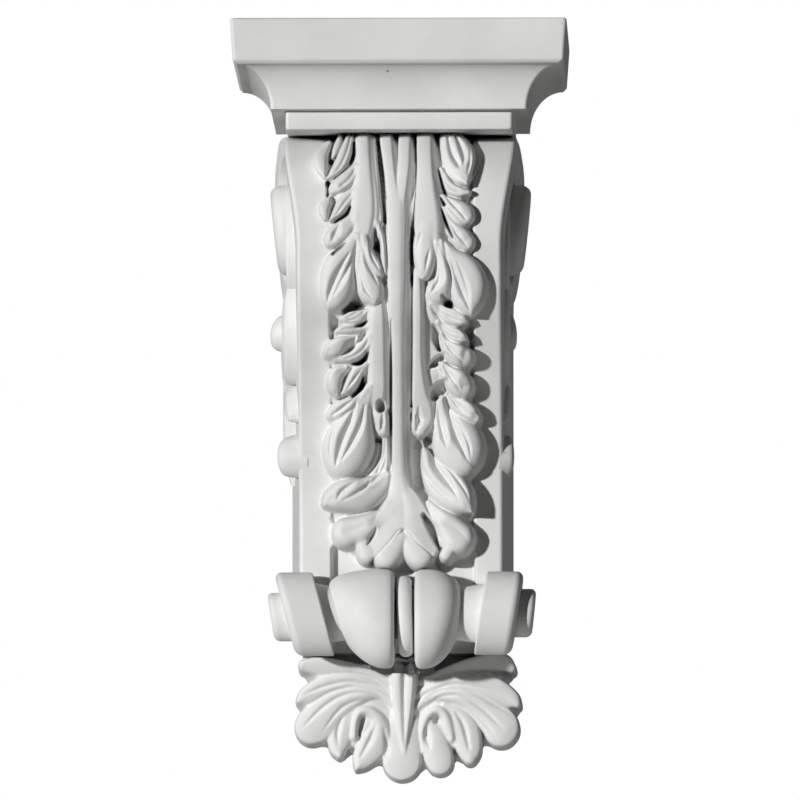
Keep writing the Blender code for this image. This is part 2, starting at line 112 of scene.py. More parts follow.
floor_material = bpy.data.materials.new("pale_floor")
floor_material.use_nodes = True
tree = floor_material.node_tree
shader = tree.nodes["Principled BSDF"]
shader.inputs["Roughness"].default_value = 0.8
place = add(tree, "ShaderNodeTexCoord", -900, 0)
cloud = add(tree, "ShaderNodeTexNoise", -700, 0, Scale=1.5, Detail=4.0)
shade = add(tree, "ShaderNodeMix", -300, 0)
shade.data_type = "RGBA"
shade.inputs["A"].default_value = FLOOR_DARK
shade.inputs["B"].default_value = FLOOR_LIGHT
tree.links.new(place.outputs["Object"], cloud.inputs["Vector"])
tree.links.new(cloud.outputs["Fac"], shade.inputs["Factor"])
tree.links.new(shade.outputs["Result"], shader.inputs["Base Color"])

floor_mesh = bpy.data.meshes.new("floor")
corners = [(x * FLOOR_HALF, y * FLOOR_HALF, FLOOR_UP) for x, y in ((-1, -1), (1, -1), (1, 1), (-1, 1))]
floor_mesh.from_pydata(corners, [], [(0, 1, 2, 3)])
floor_mesh.materials.append(floor_material)
floor = bpy.data.objects.new("floor", floor_mesh)
bpy.context.scene.collection.objects.link(floor)
print("floor at", FLOOR_UP, "m")

# %% [markdown]
# ## Light
#
# The key light comes from the left and slightly above, and its shadows have fairly sharp edges, so it is a
# sun with a small angle. A lamp below lifts the undersides, and a weak one low on the right lifts the right
# flank and the right side of the cove. The backdrop is white while the shadows stay deep. One even world
# would fill them, so a Light Path node shows the camera a white world and gives the surfaces a weak one.

# %% Light
KEY_LEFT, KEY_UP, KEY_SPREAD, KEY_STRENGTH = np.radians(38), np.radians(6.5), np.radians(3), 3.3
SOFT_LAMPS = (("bounce", 2.7, (-0.35, -0.12, -1.3)), ("side", 3.2, (1.7, -0.1, -0.45)))
SOFT_SIDE = 0.8
FILL = 0.022

bpy.context.scene.view_settings.view_transform = "Standard"
key = bpy.data.lights.new("key", "SUN")
key.energy = KEY_STRENGTH
key.angle = KEY_SPREAD
lamp = bpy.data.objects.new("key", key)
toward_lamp = Vector((-np.sin(KEY_LEFT) * np.cos(KEY_UP), -np.cos(KEY_LEFT) * np.cos(KEY_UP),
                      np.sin(KEY_UP)))
lamp.rotation_euler = (-toward_lamp).to_track_quat("-Z", "Y").to_euler()
bpy.context.scene.collection.objects.link(lamp)

for name, power, place in SOFT_LAMPS:
    soft = bpy.data.lights.new(name, "AREA")
    soft.energy = power
    soft.size = SOFT_SIDE
    lamp = bpy.data.objects.new(name, soft)
    lamp.location = place
    lamp.rotation_euler = (aim - lamp.location).to_track_quat("-Z", "Y").to_euler()
    bpy.context.scene.collection.objects.link(lamp)

room = bpy.data.worlds.new("room")
room.use_nodes = True
bpy.context.scene.world = room
tree = room.node_tree
backdrop = tree.nodes["Background"]
backdrop.inputs["Color"].default_value = (1.0, 1.0, 1.0, 1.0)
backdrop.inputs["Strength"].default_value = 1.0
fill = add(tree, "ShaderNodeBackground", -200, -200, Color=(1.0, 1.0, 1.0, 1.0), Strength=FILL)
seen = add(tree, "ShaderNodeLightPath", -200, 300)
either = add(tree, "ShaderNodeMixShader", 200, 0)
tree.links.new(seen.outputs["Is Camera Ray"], either.inputs[0])
tree.links.new(fill.outputs["Background"], either.inputs[1])
tree.links.new(backdrop.outputs["Background"], either.inputs[2])
tree.links.new(either.outputs["Shader"], tree.nodes["World Output"].inputs["Surface"])
print("key", KEY_STRENGTH, "W/m2, lamps", [(name, power) for name, power, _ in SOFT_LAMPS], "W, fill", FILL)

# %% [markdown]
# ## Measurements
#
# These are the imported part's own sizes. In the side view, the front line of the body is an arc round the
# upper scroll and then an S through a few stations, each a (height, out). The margins on its two sides are
# bands, the panel between them is sunk, and the wall of each side stands a little outside its band.

# %% Sizes
CAP_TOP, FASCIA_FOOT, COVE_FOOT, SLAB_FOOT = 254.0, 224.6, 194.3, 181.6
CAP_HALF, CAP_OUT = 114.7, 197.0
FASCIA_TAPER, LIP, COVE_STEP, SLAB_STEP = 1.8, 2.6, 22.8, 10.0
CORNER = 2.5
SCROLL_OUT, SCROLL_UP, SCROLL_RADIUS = 95.0, 112.5, 70.0
STATIONS = ((88.0, 160.6), (64.0, 150.6), (40.0, 133.6), (16.0, 115.0), (-10.0, 97.9), (-36.0, 85.6),
            (-62.0, 78.2), (-90.0, 74.9), (-140.0, 76.0))
BODY_FOOT = -168.0
BAND_HALF, BAND_HALF_TOP, WALL_HALF = 70.0, 79.0, 76.0
PANEL_LEFT, PANEL_RIGHT, PANEL_SLOPE, PANEL_SUNK = -48.6, 51.4, 2.2, 7.0
ROLL_OUT, ROLL_UP = 88.0, -144.6
DRUM_RADIUS, BELL_RADIUS, DISC_RADIUS, BOSS_RADIUS = 28.6, 34.0, 27.8, 16.6
NECK_RADIUS, NECK_FLARE = 17, 5
HEART_UP, HEART_RADIUS, HEART_TOP, HEART_FOOT = 118.0, 31.0, 90.0, 83.5
PHOTO_SIDE = 800
PIXEL = 1000 * FRAME_WIDTH / PHOTO_SIDE
print("corbel", 2 * CAP_HALF, "wide and", CAP_OUT, "deep,", PIXEL, "mm a pixel")

# %% [markdown]
# ## Where the front lies
#
# The carving is cut into a curved front, so every height over it needs to know where the front is. It could
# be a modelled surface that the carving is projected on. A formula is shorter, and it also places what is
# read from the photograph: the camera's view is undone for a point that lies a known height over the
# formula's surface.

# %% Curves
def bump(t, low=0.0, high=1.0):
    """Goes from 0 at `low` to 1 at `high` along 3t^2 - 2t^3."""
    t = np.clip((np.asarray(t, float) - low) / (high - low), 0, 1)
    return t * t * (3 - 2 * t)


def smooth_through(values, t):
    """A cubic curve through evenly spaced values, its slope at each the mean of its neighbours'."""
    slopes = np.gradient(values)
    k = np.clip(t.astype(int), 0, len(values) - 2)
    f = t - k
    return ((1 + 2 * f) * (1 - f) ** 2 * values[k] + f * (1 - f) ** 2 * slopes[k]
            + f * f * (3 - 2 * f) * values[k + 1] + f * f * (f - 1) * slopes[k + 1])


def line_out(z):
    """How far out the margins lie at height z: the scroll's arc, then a curve through the stations."""
    z = np.asarray(z, float)
    heights, outs = np.array(STATIONS[::-1]).T
    slopes = np.gradient(outs, heights)
    slopes[-1] = -(heights[-1] - SCROLL_UP) / (outs[-1] - SCROLL_OUT)
    k = np.clip(np.searchsorted(heights, z) - 1, 0, len(heights) - 2)
    step = heights[k + 1] - heights[k]
    t = np.clip((z - heights[k]) / step, 0, 1)
    cubic = ((1 + 2 * t) * (1 - t) ** 2 * outs[k] + t * (1 - t) ** 2 * step * slopes[k]
             + t * t * (3 - 2 * t) * outs[k + 1] + t * t * (t - 1) * step * slopes[k + 1])
    arc = SCROLL_OUT + np.sqrt(np.maximum(SCROLL_RADIUS**2 - (z - SCROLL_UP) ** 2, 0))
    return np.where(z > heights[-1], arc, cubic)


def front_out(z, h):
    """Out of a point h over the margins: round the scroll's centre above it, by slope below."""
    slope = (line_out(z + 1) - line_out(z - 1)) / 2
    lower = line_out(z) + h * np.sqrt(1 + np.minimum(slope, 3) ** 2)
    upper = SCROLL_OUT + np.sqrt(np.maximum((SCROLL_RADIUS + h) ** 2 - (z - SCROLL_UP) ** 2, 0))
    return np.where(z > SCROLL_UP, upper, lower)


def shell_ground(z):
    """How far out the ground of the shell lies, which leans back to the wall as it falls."""
    return np.interp(z, (-256, -230, -205, -180, -165), (20, 24, 32, 44, 54))


def shell_out(z, h):
    """Out of a point h over the ground of the shell."""
    return shell_ground(z) + h


def from_photo(rows, out_of, over=9.0):
    """Rows of (column, row, half-width) in the photograph's pixels, turned to millimetres.

    This is the camera's view undone. A point further out shows higher, further left and larger, so every
    place is taken to lie `over` millimetres above the ground that out_of describes.
    """
    column, row, half = np.array([place[:3] for place in rows], float).T
    across, up, out = (column - PHOTO_SIDE / 2) * PIXEL, (PHOTO_SIDE / 2 - row) * PIXEL, SCALE_OUT
    for _ in range(8):
        nearer = 1 - (out - SCALE_OUT) * MM / DISTANCE
        z = AIM_UP + (up * nearer - np.sin(VIEW_BELOW) * out) / np.cos(VIEW_BELOW)
        out = out_of(z, over)
    x = AIM_RIGHT + (across * nearer + np.sin(VIEW_RIGHT) * out) / np.cos(VIEW_RIGHT)
    rest = [place[3:] for place in rows]
    return np.column_stack([x, z, half * PIXEL, np.array(rest, float).reshape(len(rows), -1)])


print("margins out", float(line_out(SCROLL_UP)), "at the scroll,", float(line_out(-90.0)), "at the crest")

# %% [markdown]
# ## Carving as heights
#
# An acanthus leaf is a set of lobes that a carver models one over the other, with flutes along them and
# drilled eyes between them. Sculpting it by hand can't be repeated, and a displacement picture would have
# to be painted. Here each lobe is the area swept by a disc that moves along a smooth path, growing and
# shrinking on its way. For every point (x, z) of the front, the nearest place on the path gives three
# numbers: the distance to the lobe's outline, how far along the lobe the point lies, and how far across.
# The height over the margins follows from those: a crowned top inside the outline, a small fillet at it,
# and a steep wall outside.

# %% Nearest place on a path
WALL_REACH = 9.0


def near_path(x, z, path):
    """Which points could be touched by a path of (x, z, half-width), its walls included."""
    x0, z0 = path[:, :2].min(0) - WALL_REACH - path[:, 2].max()
    x1, z1 = path[:, :2].max(0) + WALL_REACH + path[:, 2].max()
    return (x > x0) & (x < x1) & (z > z0) & (z < z1)


def nearest(x, z, path, steps=64):
    """For points (x, z): distance outside, share of the way, offset across, half-width, way out.

    The path is cut into short straight steps. On each, a point's foot is its projection held between the
    ends, and the step with the least (distance to the foot - radius there) wins. The loop runs over the
    steps, and each step is worked out for all points at once.
    """
    t = np.linspace(0, len(path) - 1, steps + 1)
    cx, cz, radius = (smooth_through(path[:, i], t) for i in range(3))
    best = np.full(x.shape, 1e9)
    share, offset, half = np.zeros(x.shape), np.zeros(x.shape), np.ones(x.shape)
    away_x, away_z = np.zeros(x.shape), np.zeros(x.shape)
    for k in range(steps):
        ex, ez = cx[k + 1] - cx[k], cz[k + 1] - cz[k]
        foot = np.clip(((x - cx[k]) * ex + (z - cz[k]) * ez) / (ex * ex + ez * ez + 1e-9), 0, 1)
        dx, dz = x - cx[k] - foot * ex, z - cz[k] - foot * ez
        away = np.hypot(dx, dz)
        r = radius[k] + foot * (radius[k + 1] - radius[k])
        nearer = away - r < best
        best = np.where(nearer, away - r, best)
        share = np.where(nearer, (k + foot) / steps, share)
        offset = np.where(nearer, np.sign(ex * dz - ez * dx) * away, offset)
        half = np.where(nearer, r, half)
        away_x = np.where(nearer, dx / (away + 1e-9), away_x)
        away_z = np.where(nearer, dz / (away + 1e-9), away_z)
    return best, share, offset, half, (away_x, away_z)


print("walls reach", WALL_REACH, "mm out of an outline")

# %% Heights of one lobe, one ridge, one band, one groove and one pit
WALL_SLOPE = 3.4


def edge(distance, fillet, wall=WALL_SLOPE):
    """Fall from the top by distance from the outline: nearly a quarter-round, then a wall.

    With d the way past the fillet's start, the round is fillet - sqrt(fillet^2 - 0.93 d^2).
    """
    inside = np.clip(distance + fillet, 0, fillet)
    return fillet - np.sqrt(np.maximum(fillet**2 - 0.93 * inside**2, 0)) + np.maximum(distance, 0) * wall


def higher(a, b, soft):
    """The higher height, plus (soft - difference)^2 / (4 soft) where they differ by less than soft."""
    return np.maximum(a, b) + np.maximum(soft - np.abs(a - b), 0) ** 2 / (4 * soft)


def lobe(x, z, path, rise, flutes, start, reach=0.6, droop=0.12, soft=0.5, base_soft=3.0):
    """A lobe's height, how soft its crease is, the distance from its outline and the way out.

    The rise grows along 3t^2 - 2t^3 from the share `start` of it at the base to all of it at the share
    `reach` of the length, and sinks by the share `droop` at the tip. Across, with c the share of the
    half-width, it falls by 0.14 c^2 + 0.42 c^5, which leaves full shoulders. Each flute is a bell-shaped
    valley that fades at both ends. The crease is softer by `base_soft` at the base, where the lobe grows
    out of what lies under it.
    """
    distance, share, offset, half, away = nearest(x, z, path)
    steps = np.hypot(*np.diff(path[:, :2], axis=0).T)
    share = np.interp(share * len(steps), np.arange(len(path)), np.append(0, np.cumsum(steps)) / steps.sum())
    across = np.clip(1 + distance / half, 0, 1)
    h = rise * (start + (1 - start) * bump(share, 0, reach)) * (1 - droop * bump(share, 0.8, 1))
    h = h * (1 - 0.14 * across**2 - 0.42 * across**5)
    fade = bump(share, 0.0, 0.16) * (1 - bump(share, 0.72, 0.93))
    for at, depth in flutes:
        width = 0.5 + 0.11 * half
        h = h - 2.9 * depth * fade * np.exp(-(np.abs(offset - at * half) / width) ** 1.6)
    return h - edge(distance, 1.2), soft + base_soft * (1 - bump(share, 0.05, 0.4)), distance, away


def ridge(x, z, path, fall, flutes, soft_side):
    """Height of a stem whose path rows also give its rise.

    With c the offset over the half-width, its top is the rise times (1 - 0.12 c^2), and it falls away on
    the right by the share `fall`. On its soft side, -1 or 1, it runs down gently into the leaf instead of
    ending in a wall.
    """
    distance, share, offset, half, away = nearest(x, z, path)
    rise = np.interp(share * (len(path) - 1), np.arange(len(path)), path[:, 3])
    across = offset / half
    h = rise * (1 - 0.12 * across**2 - fall * bump(across, 0.25, 1.0))
    for at, depth in flutes:
        h = h - 2.0 * depth * np.exp(-(np.abs(offset - at * half) / 1.3) ** 1.6)
    steep = edge(distance, 1.6, 3.5)
    gentle = edge(distance, 5.0, 1.1)
    on_soft_side = bump(across * soft_side, 0.0, 0.5)
    return h - steep + (steep - gentle) * on_soft_side, 0.8, distance * (1 - on_soft_side), away


def band(x, z, path, rise):
    """Height of one band of the shell: a top that rises to its tip and falls by c^2.2 across."""
    distance, share, offset, half, away = nearest(x, z, path)
    across = np.clip(np.abs(offset / half), 0, 1.2)
    top = rise * (0.75 + 0.25 * bump(share, 0, 0.5)) - 0.28 * rise * across**2.2
    return top - edge(distance, 2.4, 16.0), 0.5, distance, away


def groove(x, z, path, slope):
    """Depth of a valley with a sharp floor and rounded shoulders: slope times half-width times (1 - d)^1.8.

    The share d is 0 in the middle of the valley and 1 at 2.3 half-widths from it.
    """
    distance, share, offset, half, away = nearest(x, z, path, 40)
    reach = 2.3 * half
    return slope * half * np.clip(1 - (distance + half) / reach, 0, 1) ** 1.8


def pit(x, z, path, depth):
    """Depth of a flat-floored hollow whose sides rise along 3t^2 - 2t^3 over 1.6 mm."""
    return depth * bump(-nearest(x, z, path, 16)[0], -0.3, 1.3)


print("a wall falls", WALL_SLOPE, "mm for each mm outward")

# %% [markdown]
# ## What is carved, and where
#
# Every row is a reading of the front view, in the photograph's pixels. A lobe is its places as
# (column, row, half-width) from base to tip, then its rise over the margins in millimetres and its flutes
# as (share of the half-width, depth). A petal is a lobe without flutes, and a web is a low lobe that fills
# the ground between leaves. A ridge has its rise at each place, then the fall of its top, its flutes and
# its soft side. A groove or a dish is only its places, and a pit has its depth.

# %% Lobes of the front
UPPER_LEFT = (
    (((329, 142, 3.5), (321, 155, 7), (321, 165, 7), (324.5, 177, 2)), 9, ()),
    (((342, 129, 3), (340.5, 136, 3.5), (337, 147, 4.5), (332.5, 157, 2)), 9.5, ()),
    (((351, 128, 4.5), (350, 135, 5), (346, 150, 7), (340, 164, 7), (332, 174, 4), (326.5, 178.5, 1)),
     11, ((0.2, 0.5),)),
    (((356, 165, 3), (349, 176, 8), (340, 184, 8.5), (334, 188, 6.5)), 10.5, ((0.25, 0.6),)),
    (((328, 199, 4), (324, 208, 6), (325, 217, 3.5)), 9, ()),
    (((355, 190, 4), (345, 201, 7), (338, 211, 5.5), (330, 220, 1.5)), 10.5, ((0.1, 0.5),)),
    (((357, 215, 6), (343, 229, 10.5), (334, 237, 10), (330, 241, 6.5)), 11, ()),
    (((355, 236, 6), (346, 252, 9.5), (338.5, 266, 15.5), (337, 283, 17.5), (334, 297, 13),
      (329, 307.5, 3)), 12.5, ()),
    (((360, 238, 6), (362, 258, 8), (367, 278, 12), (371, 290, 13), (374, 300, 6)), 12, ()),
    (((364, 236, 4), (369, 255, 6), (376, 267, 6), (381, 275, 2)), 12.5, ()),
    (((377, 222, 3.5), (382.5, 240, 3), (384, 258, 3.5), (385.5, 272, 2)), 10.5, ()),
)
UPPER_RIGHT = (
    (((448.5, 127, 10), (450, 135, 11.5), (457, 150, 16.5), (460.5, 160, 18), (462, 172, 12),
      (467, 184, 1.5)), 11, ()),
    (((441, 168, 2.5), (447, 184, 6), (458, 191, 6), (468, 192, 3.5)), 9.5, ((0.2, 0.4), (-0.2, 0.3))),
    (((443, 196, 3), (451, 204, 8), (461, 212, 12), (464.5, 215, 10.5)), 11, ()),
    (((443.5, 208, 2.5), (449.5, 223, 6), (460, 236, 10.5), (466, 242, 9.5)), 9.5, ()),
    (((442, 242, 4), (452, 256, 9.5), (463, 268, 15), (468, 281, 18.5), (468.5, 293, 17.5), (469, 304, 11),
      (471.5, 314, 2.5)), 13, ()),
    (((437, 243, 4), (442, 262, 6), (443, 280, 9), (438, 291, 12.5)), 12, ()),
    (((427, 226, 8), (425, 240, 11.5), (425, 256, 11.5), (424.5, 270, 8), (423.5, 277, 3)), 11.5, ()),
)
LOWER_LEFT = (
    (((366, 307, 5), (357, 315, 7.5), (348, 319, 6), (342, 319, 3.5)), 8, ((0.25, 0.5), (-0.3, 0.5))),
    (((366, 326, 5), (352, 329, 6), (342, 330, 5), (337, 331, 3)), 9.5, ((-0.1, 0.4),)),
    (((357, 338, 3), (343, 344, 9), (333, 349, 9.5), (329, 351, 7.5)), 14, ()),
    (((370, 335, 4), (362, 349, 7.5), (349, 357, 6), (336, 358, 5)), 11.5, ((0.1, 0.4),)),
    (((346, 368, 4), (337, 374, 8.5), (334, 384, 8.5), (337, 394, 4)), 14, ()),
    (((366, 364, 4), (356, 374, 7.5), (350, 384, 8), (342, 394, 3)), 12.5, ()),
    (((366, 390, 4), (352, 403, 8.5), (339, 411, 10), (332, 414, 7)), 13, ()),
    (((378, 404, 6), (380, 418, 9.5), (383, 430, 7)), 11.5, ()),
)
LEFT_TIPS = (
    (((369, 386, 5), (363, 404, 9), (355, 426, 17.5), (348.5, 443.5, 25.5), (344, 459, 20), (336, 473, 3)),
     18, ()),
    (((388, 474, 4), (380, 484, 11.5), (364, 493.5, 17), (347, 494.5, 17), (335, 497.5, 13),
      (327, 502, 6.5)), 20, ()),
)
LOWER_RIGHT = (
    (((431, 303, 3), (442, 311, 7), (452, 317, 9), (461, 320, 6.5), (467, 322, 2)), 10, ((0.3, 0.4),
                                                                                         (-0.2, 0.5))),
    (((438, 322, 3), (447, 331, 6.5), (458, 336, 7.5), (466, 340, 3)), 11.5, ((0.2, 0.4), (-0.3, 0.4))),
    (((440, 334, 3), (446, 345, 7), (457, 354, 11), (465, 357, 10.5)), 15, ()),
    (((440, 361, 3), (448, 373, 8.5), (459, 383, 13.5), (463, 387, 12)), 16, ()),
    (((446, 393, 3), (456, 403, 7.5), (467, 410, 9.5), (476, 418, 6.5)), 15, ()),
    (((441, 396, 4.5), (443, 412, 9), (450, 428, 16.5), (459, 445, 26.5), (461, 457, 21), (467, 467, 8.5),
      (471, 472, 2.5)), 19, ()),
    (((418, 404, 3.5), (415, 421, 5), (417, 432, 4)), 10.5, ()),
    (((430, 412, 5.5), (425, 425, 7), (420, 433, 4.5)), 11.5, ()),
    (((424, 448, 3), (432, 466, 11), (446, 484, 20), (457, 495, 18), (467, 506, 8), (472, 512, 2)), 23, ()),
)
WEBS = (
    (((352, 168, 8), (345, 208, 11), (350, 238, 9)), 5.5, ()),
    (((440, 152, 7), (450, 200, 10), (452, 238, 9)), 1, ()),
    (((357, 318, 8), (352, 350, 10), (353, 380, 9), (354, 408, 8)), 7, ()),
    (((430, 298, 8), (434, 330, 13), (436, 365, 14), (438, 392, 11), (439, 402, 6)), 3.5, ()),
    (((428, 298, 7), (432, 310, 8), (437, 322, 5)), 5.5, ()),
    (((437, 372, 8), (446, 378, 8)), 4, ()),
    (((378, 446, 4), (376, 464, 6), (368, 478, 8)), 4.5, ()),
    (((385, 436, 3.5), (385, 456, 4.5), (382, 474, 6)), 6, ()),
)
CREST = (
    (((391, 512, 6), (379, 518.5, 10), (363, 527.5, 14), (347, 532, 16)), 20, ()),
    (((429, 502, 4), (438, 514, 8), (449.5, 526, 14), (457.5, 537, 18.5)), 20, ()),
)
FOLDS = (
    (((363, 541, 9), (368, 552.5, 12)), 17, ()),
    (((453, 543, 8), (446, 555.5, 7.5)), 17, ()),
)
PETALS = (
    (((400, 537, 10), (390, 547, 17.5), (387, 553, 16.5)), 18.5),
    (((406, 537, 10), (416, 546, 17.5), (420, 552.5, 16.5)), 17.8),
)
RIM = ((370, 562, 1), (387, 545.5, 1), (403, 529, 1), (420, 544.5, 1), (441, 562.5, 1))
print("lobes", sum(map(len, (UPPER_LEFT, UPPER_RIGHT, LOWER_LEFT, LOWER_RIGHT, CREST))))

# %% Stems, grooves and pits of the front
RIDGES = (
    (((365, 127, 11, 9.5), (366, 165, 12, 10), (367, 190, 15, 10.5), (367, 212, 17, 11),
      (365, 230, 14, 10), (363, 246, 8, 7)), 0.2, ((0.45, 0.6), (0.72, 0.6)), -1),
    (((387, 127, 9, 8.5), (391, 165, 7.5, 8.5), (395, 198, 8, 8.5), (398, 225, 8, 6)), 0.5, (), 0),
    (((407.5, 127, 9, 8.5), (406, 165, 8, 8.5), (402, 198, 8, 8.5), (400, 225, 7, 6)), 0.6, (), 0),
    (((427, 127, 10.5, 9.5), (427.5, 165, 11, 10), (429, 190, 13.5, 11), (431, 214, 17, 11),
      (432, 234, 16, 10), (434, 252, 7, 6)), 0.5, (), 1),
    (((405.5, 178, 5, 2.5), (405.5, 200, 6, 5), (405.5, 225, 7, 5), (405, 245, 7, 3), (405, 300, 7, 3),
      (405.5, 400, 7, 3), (406, 470, 7, 4.5), (408, 492, 9, 8)), 0.5, (), 0),
    (((397, 188, 8, 7.5), (396.5, 215, 10, 9.5), (397, 300, 8.5, 9.5), (398, 360, 7, 9.5),
      (398.3, 400, 7, 9.5), (399, 465, 7.5, 10), (401, 490, 11, 12), (404, 506, 18, 14.5),
      (404, 522, 26, 17), (404.5, 541, 35, 18.5)), 0.1, (), 0),
    (((379, 290, 8, 5), (379.5, 320, 12, 9), (380, 360, 12.5, 9.5), (380, 390, 13, 9.5), (377, 402, 13, 9),
      (374, 414, 9, 6)), 0.45, ((0.5, 0.6), (0.75, 0.6)), -1),
    (((418, 270, 4.5, 7), (418.5, 292, 6.5, 9), (418.5, 320, 7.5, 9.5), (418.5, 360, 8, 9.5),
      (421, 390, 10.5, 9.5), (426, 408, 12, 9), (431, 424, 8, 6)), 0.35, (), 1),
)
GROOVES = (
    ((340, 223, 0.8), (336, 232, 2.6), (332.5, 240, 1)),
    ((349.3, 253, 0.8), (342, 266, 2.2), (335.5, 279, 3.2), (330, 293, 2.4), (327.6, 303, 0.6)),
    ((352.7, 257, 0.6), (346.6, 271.5, 2.2), (340, 284, 2.2), (334, 296, 0.8)),
    ((356.5, 240, 0.7), (356.5, 256, 1.5), (357.5, 273, 2), (358, 288, 2)),
    ((360, 252, 0.5), (360.5, 271, 2.2), (364.3, 287, 2.4), (371, 297, 0.8)),
    ((365, 248, 0.5), (367, 262, 1.6), (373, 274, 1.6), (378, 285, 0.5)),
    ((369, 244, 0.5), (372, 256, 1.6), (377, 266, 1.3), (381, 273, 0.4)),
    ((447.9, 136, 1), (452, 152, 2.4), (458, 163, 2.4), (460, 168, 0.6)),
    ((455.7, 135, 1), (461.5, 147, 2.2), (464.3, 158, 2.4), (463, 166, 0.6)),
    ((470, 150, 0.4), (470, 162, 1.2), (467.5, 174, 0.6)),
    ((446, 197, 0.6), (456, 207, 1.8), (466, 219, 0.7)),
    ((446, 204, 0.5), (454, 213, 1.5), (463, 222, 0.5)),
    ((447.5, 219, 0.6), (456, 232, 1.7), (467, 246, 0.7)),
    ((447, 228, 0.4), (453, 238, 1.3), (462, 249, 0.5)),
    ((443, 238, 0.8), (446, 252, 1.6), (449, 268, 1.4), (452, 282, 0.5)),
    ((449, 255, 0.8), (455, 272, 2.4), (462, 291, 3), (467, 303, 1.6), (469.5, 311, 0.5)),
    ((457, 262, 0.5), (463, 276, 1.6), (468, 292, 1.6), (470, 304, 0.5)),
    ((437, 247, 0.6), (439, 262, 2.2), (438.8, 280, 3.2), (432, 292, 0.8)),
    ((420.7, 234, 0.8), (417.3, 246, 1.4), (417, 254, 0.5)),
    ((429.5, 250, 0.6), (427.5, 260, 1.3), (425.5, 270, 0.5)),
    ((356, 337, 1), (350, 347, 3.2), (343, 354, 1.6)),
    ((352, 367, 0.8), (346, 378, 2.4), (342, 390, 1.2)),
    ((361, 370, 0.5), (354, 380, 1.3), (347, 389, 0.6)),
    ((353, 400, 0.5), (343, 408, 1.6), (333, 415, 0.8)),
    ((357, 405, 0.4), (348, 412, 1), (342, 416, 0.4)),
    ((356, 403, 0.8), (350.8, 421, 2.6), (343, 440, 3.2), (337.5, 460, 2), (335.5, 468, 0.5)),
    ((365, 405, 0.8), (360.5, 426, 2.4), (351, 446, 2.4), (342, 461, 0.8)),
    ((340, 420, 0.5), (332, 436, 1.6), (330, 452, 1.4), (333, 466, 0.5)),
    ((372, 415, 1.2), (375, 424, 2), (379, 431, 0.6)),
    ((383, 413, 0.8), (382.5, 424, 1.6), (380.5, 432, 0.6)),
    ((357, 482, 0.6), (348, 488, 2.2), (341, 494, 1.8), (337, 501, 0.6)),
    ((371, 480, 0.6), (364, 489, 1.8), (354, 496, 1.6), (344, 501, 0.6)),
    ((387, 452, 0.6), (383, 468, 1.6), (374, 481, 1.6), (362, 490, 0.7)),
    ((381, 440, 0.8), (379, 456, 1.6), (371, 470, 1.4), (360, 478, 0.5)),
    ((385, 438, 0.6), (384, 454, 1.4), (378, 470, 1.2)),
    ((437.8, 400, 1.6), (439.5, 418, 4.2), (443.5, 436, 3.2), (447, 448, 0.6)),
    ((444.5, 396, 1.4), (449.5, 415, 3.8), (457, 436, 3.8), (463, 450, 2.4), (468, 462, 0.5)),
    ((452, 416, 0.5), (462, 430, 1.4), (469, 446, 1.2), (471, 458, 0.4)),
    ((430, 448, 1.4), (436, 465, 3.6), (445.5, 479, 3.4), (454, 492, 1.8), (458, 499, 0.5)),
    ((420.8, 462, 0.8), (426.5, 476, 2), (436.7, 490, 2), (451, 500, 0.6)),
    ((441, 462, 0.5), (452, 474, 1.4), (464, 490, 1.2), (469, 501, 0.4)),
    ((431, 306, 0.9), (437.5, 314, 2), (444, 320, 0.8)),
    ((443, 313, 0.4), (451, 317, 1), (460, 321, 0.4)),
    ((441, 328, 0.8), (447, 336, 1.8), (453, 342, 0.6)),
    ((444, 340, 0.7), (452, 351, 1.9), (463, 363, 0.6)),
    ((443, 350, 0.5), (450, 358, 1.4), (458, 365, 0.5)),
    ((444, 366, 0.8), (451, 377, 2.3), (460, 391, 0.7)),
    ((446, 379, 0.4), (451, 387, 1.3), (457, 394, 0.4)),
    ((449, 396, 0.6), (459, 407, 2), (470, 417, 0.6)),
    ((419, 407, 0.8), (418.5, 418, 2.4), (417, 431, 0.8)),
    ((371, 562, 0.5), (387, 546, 0.7), (403, 529.8, 0.7), (420, 545.5, 0.7), (440, 562.5, 0.5)),
)
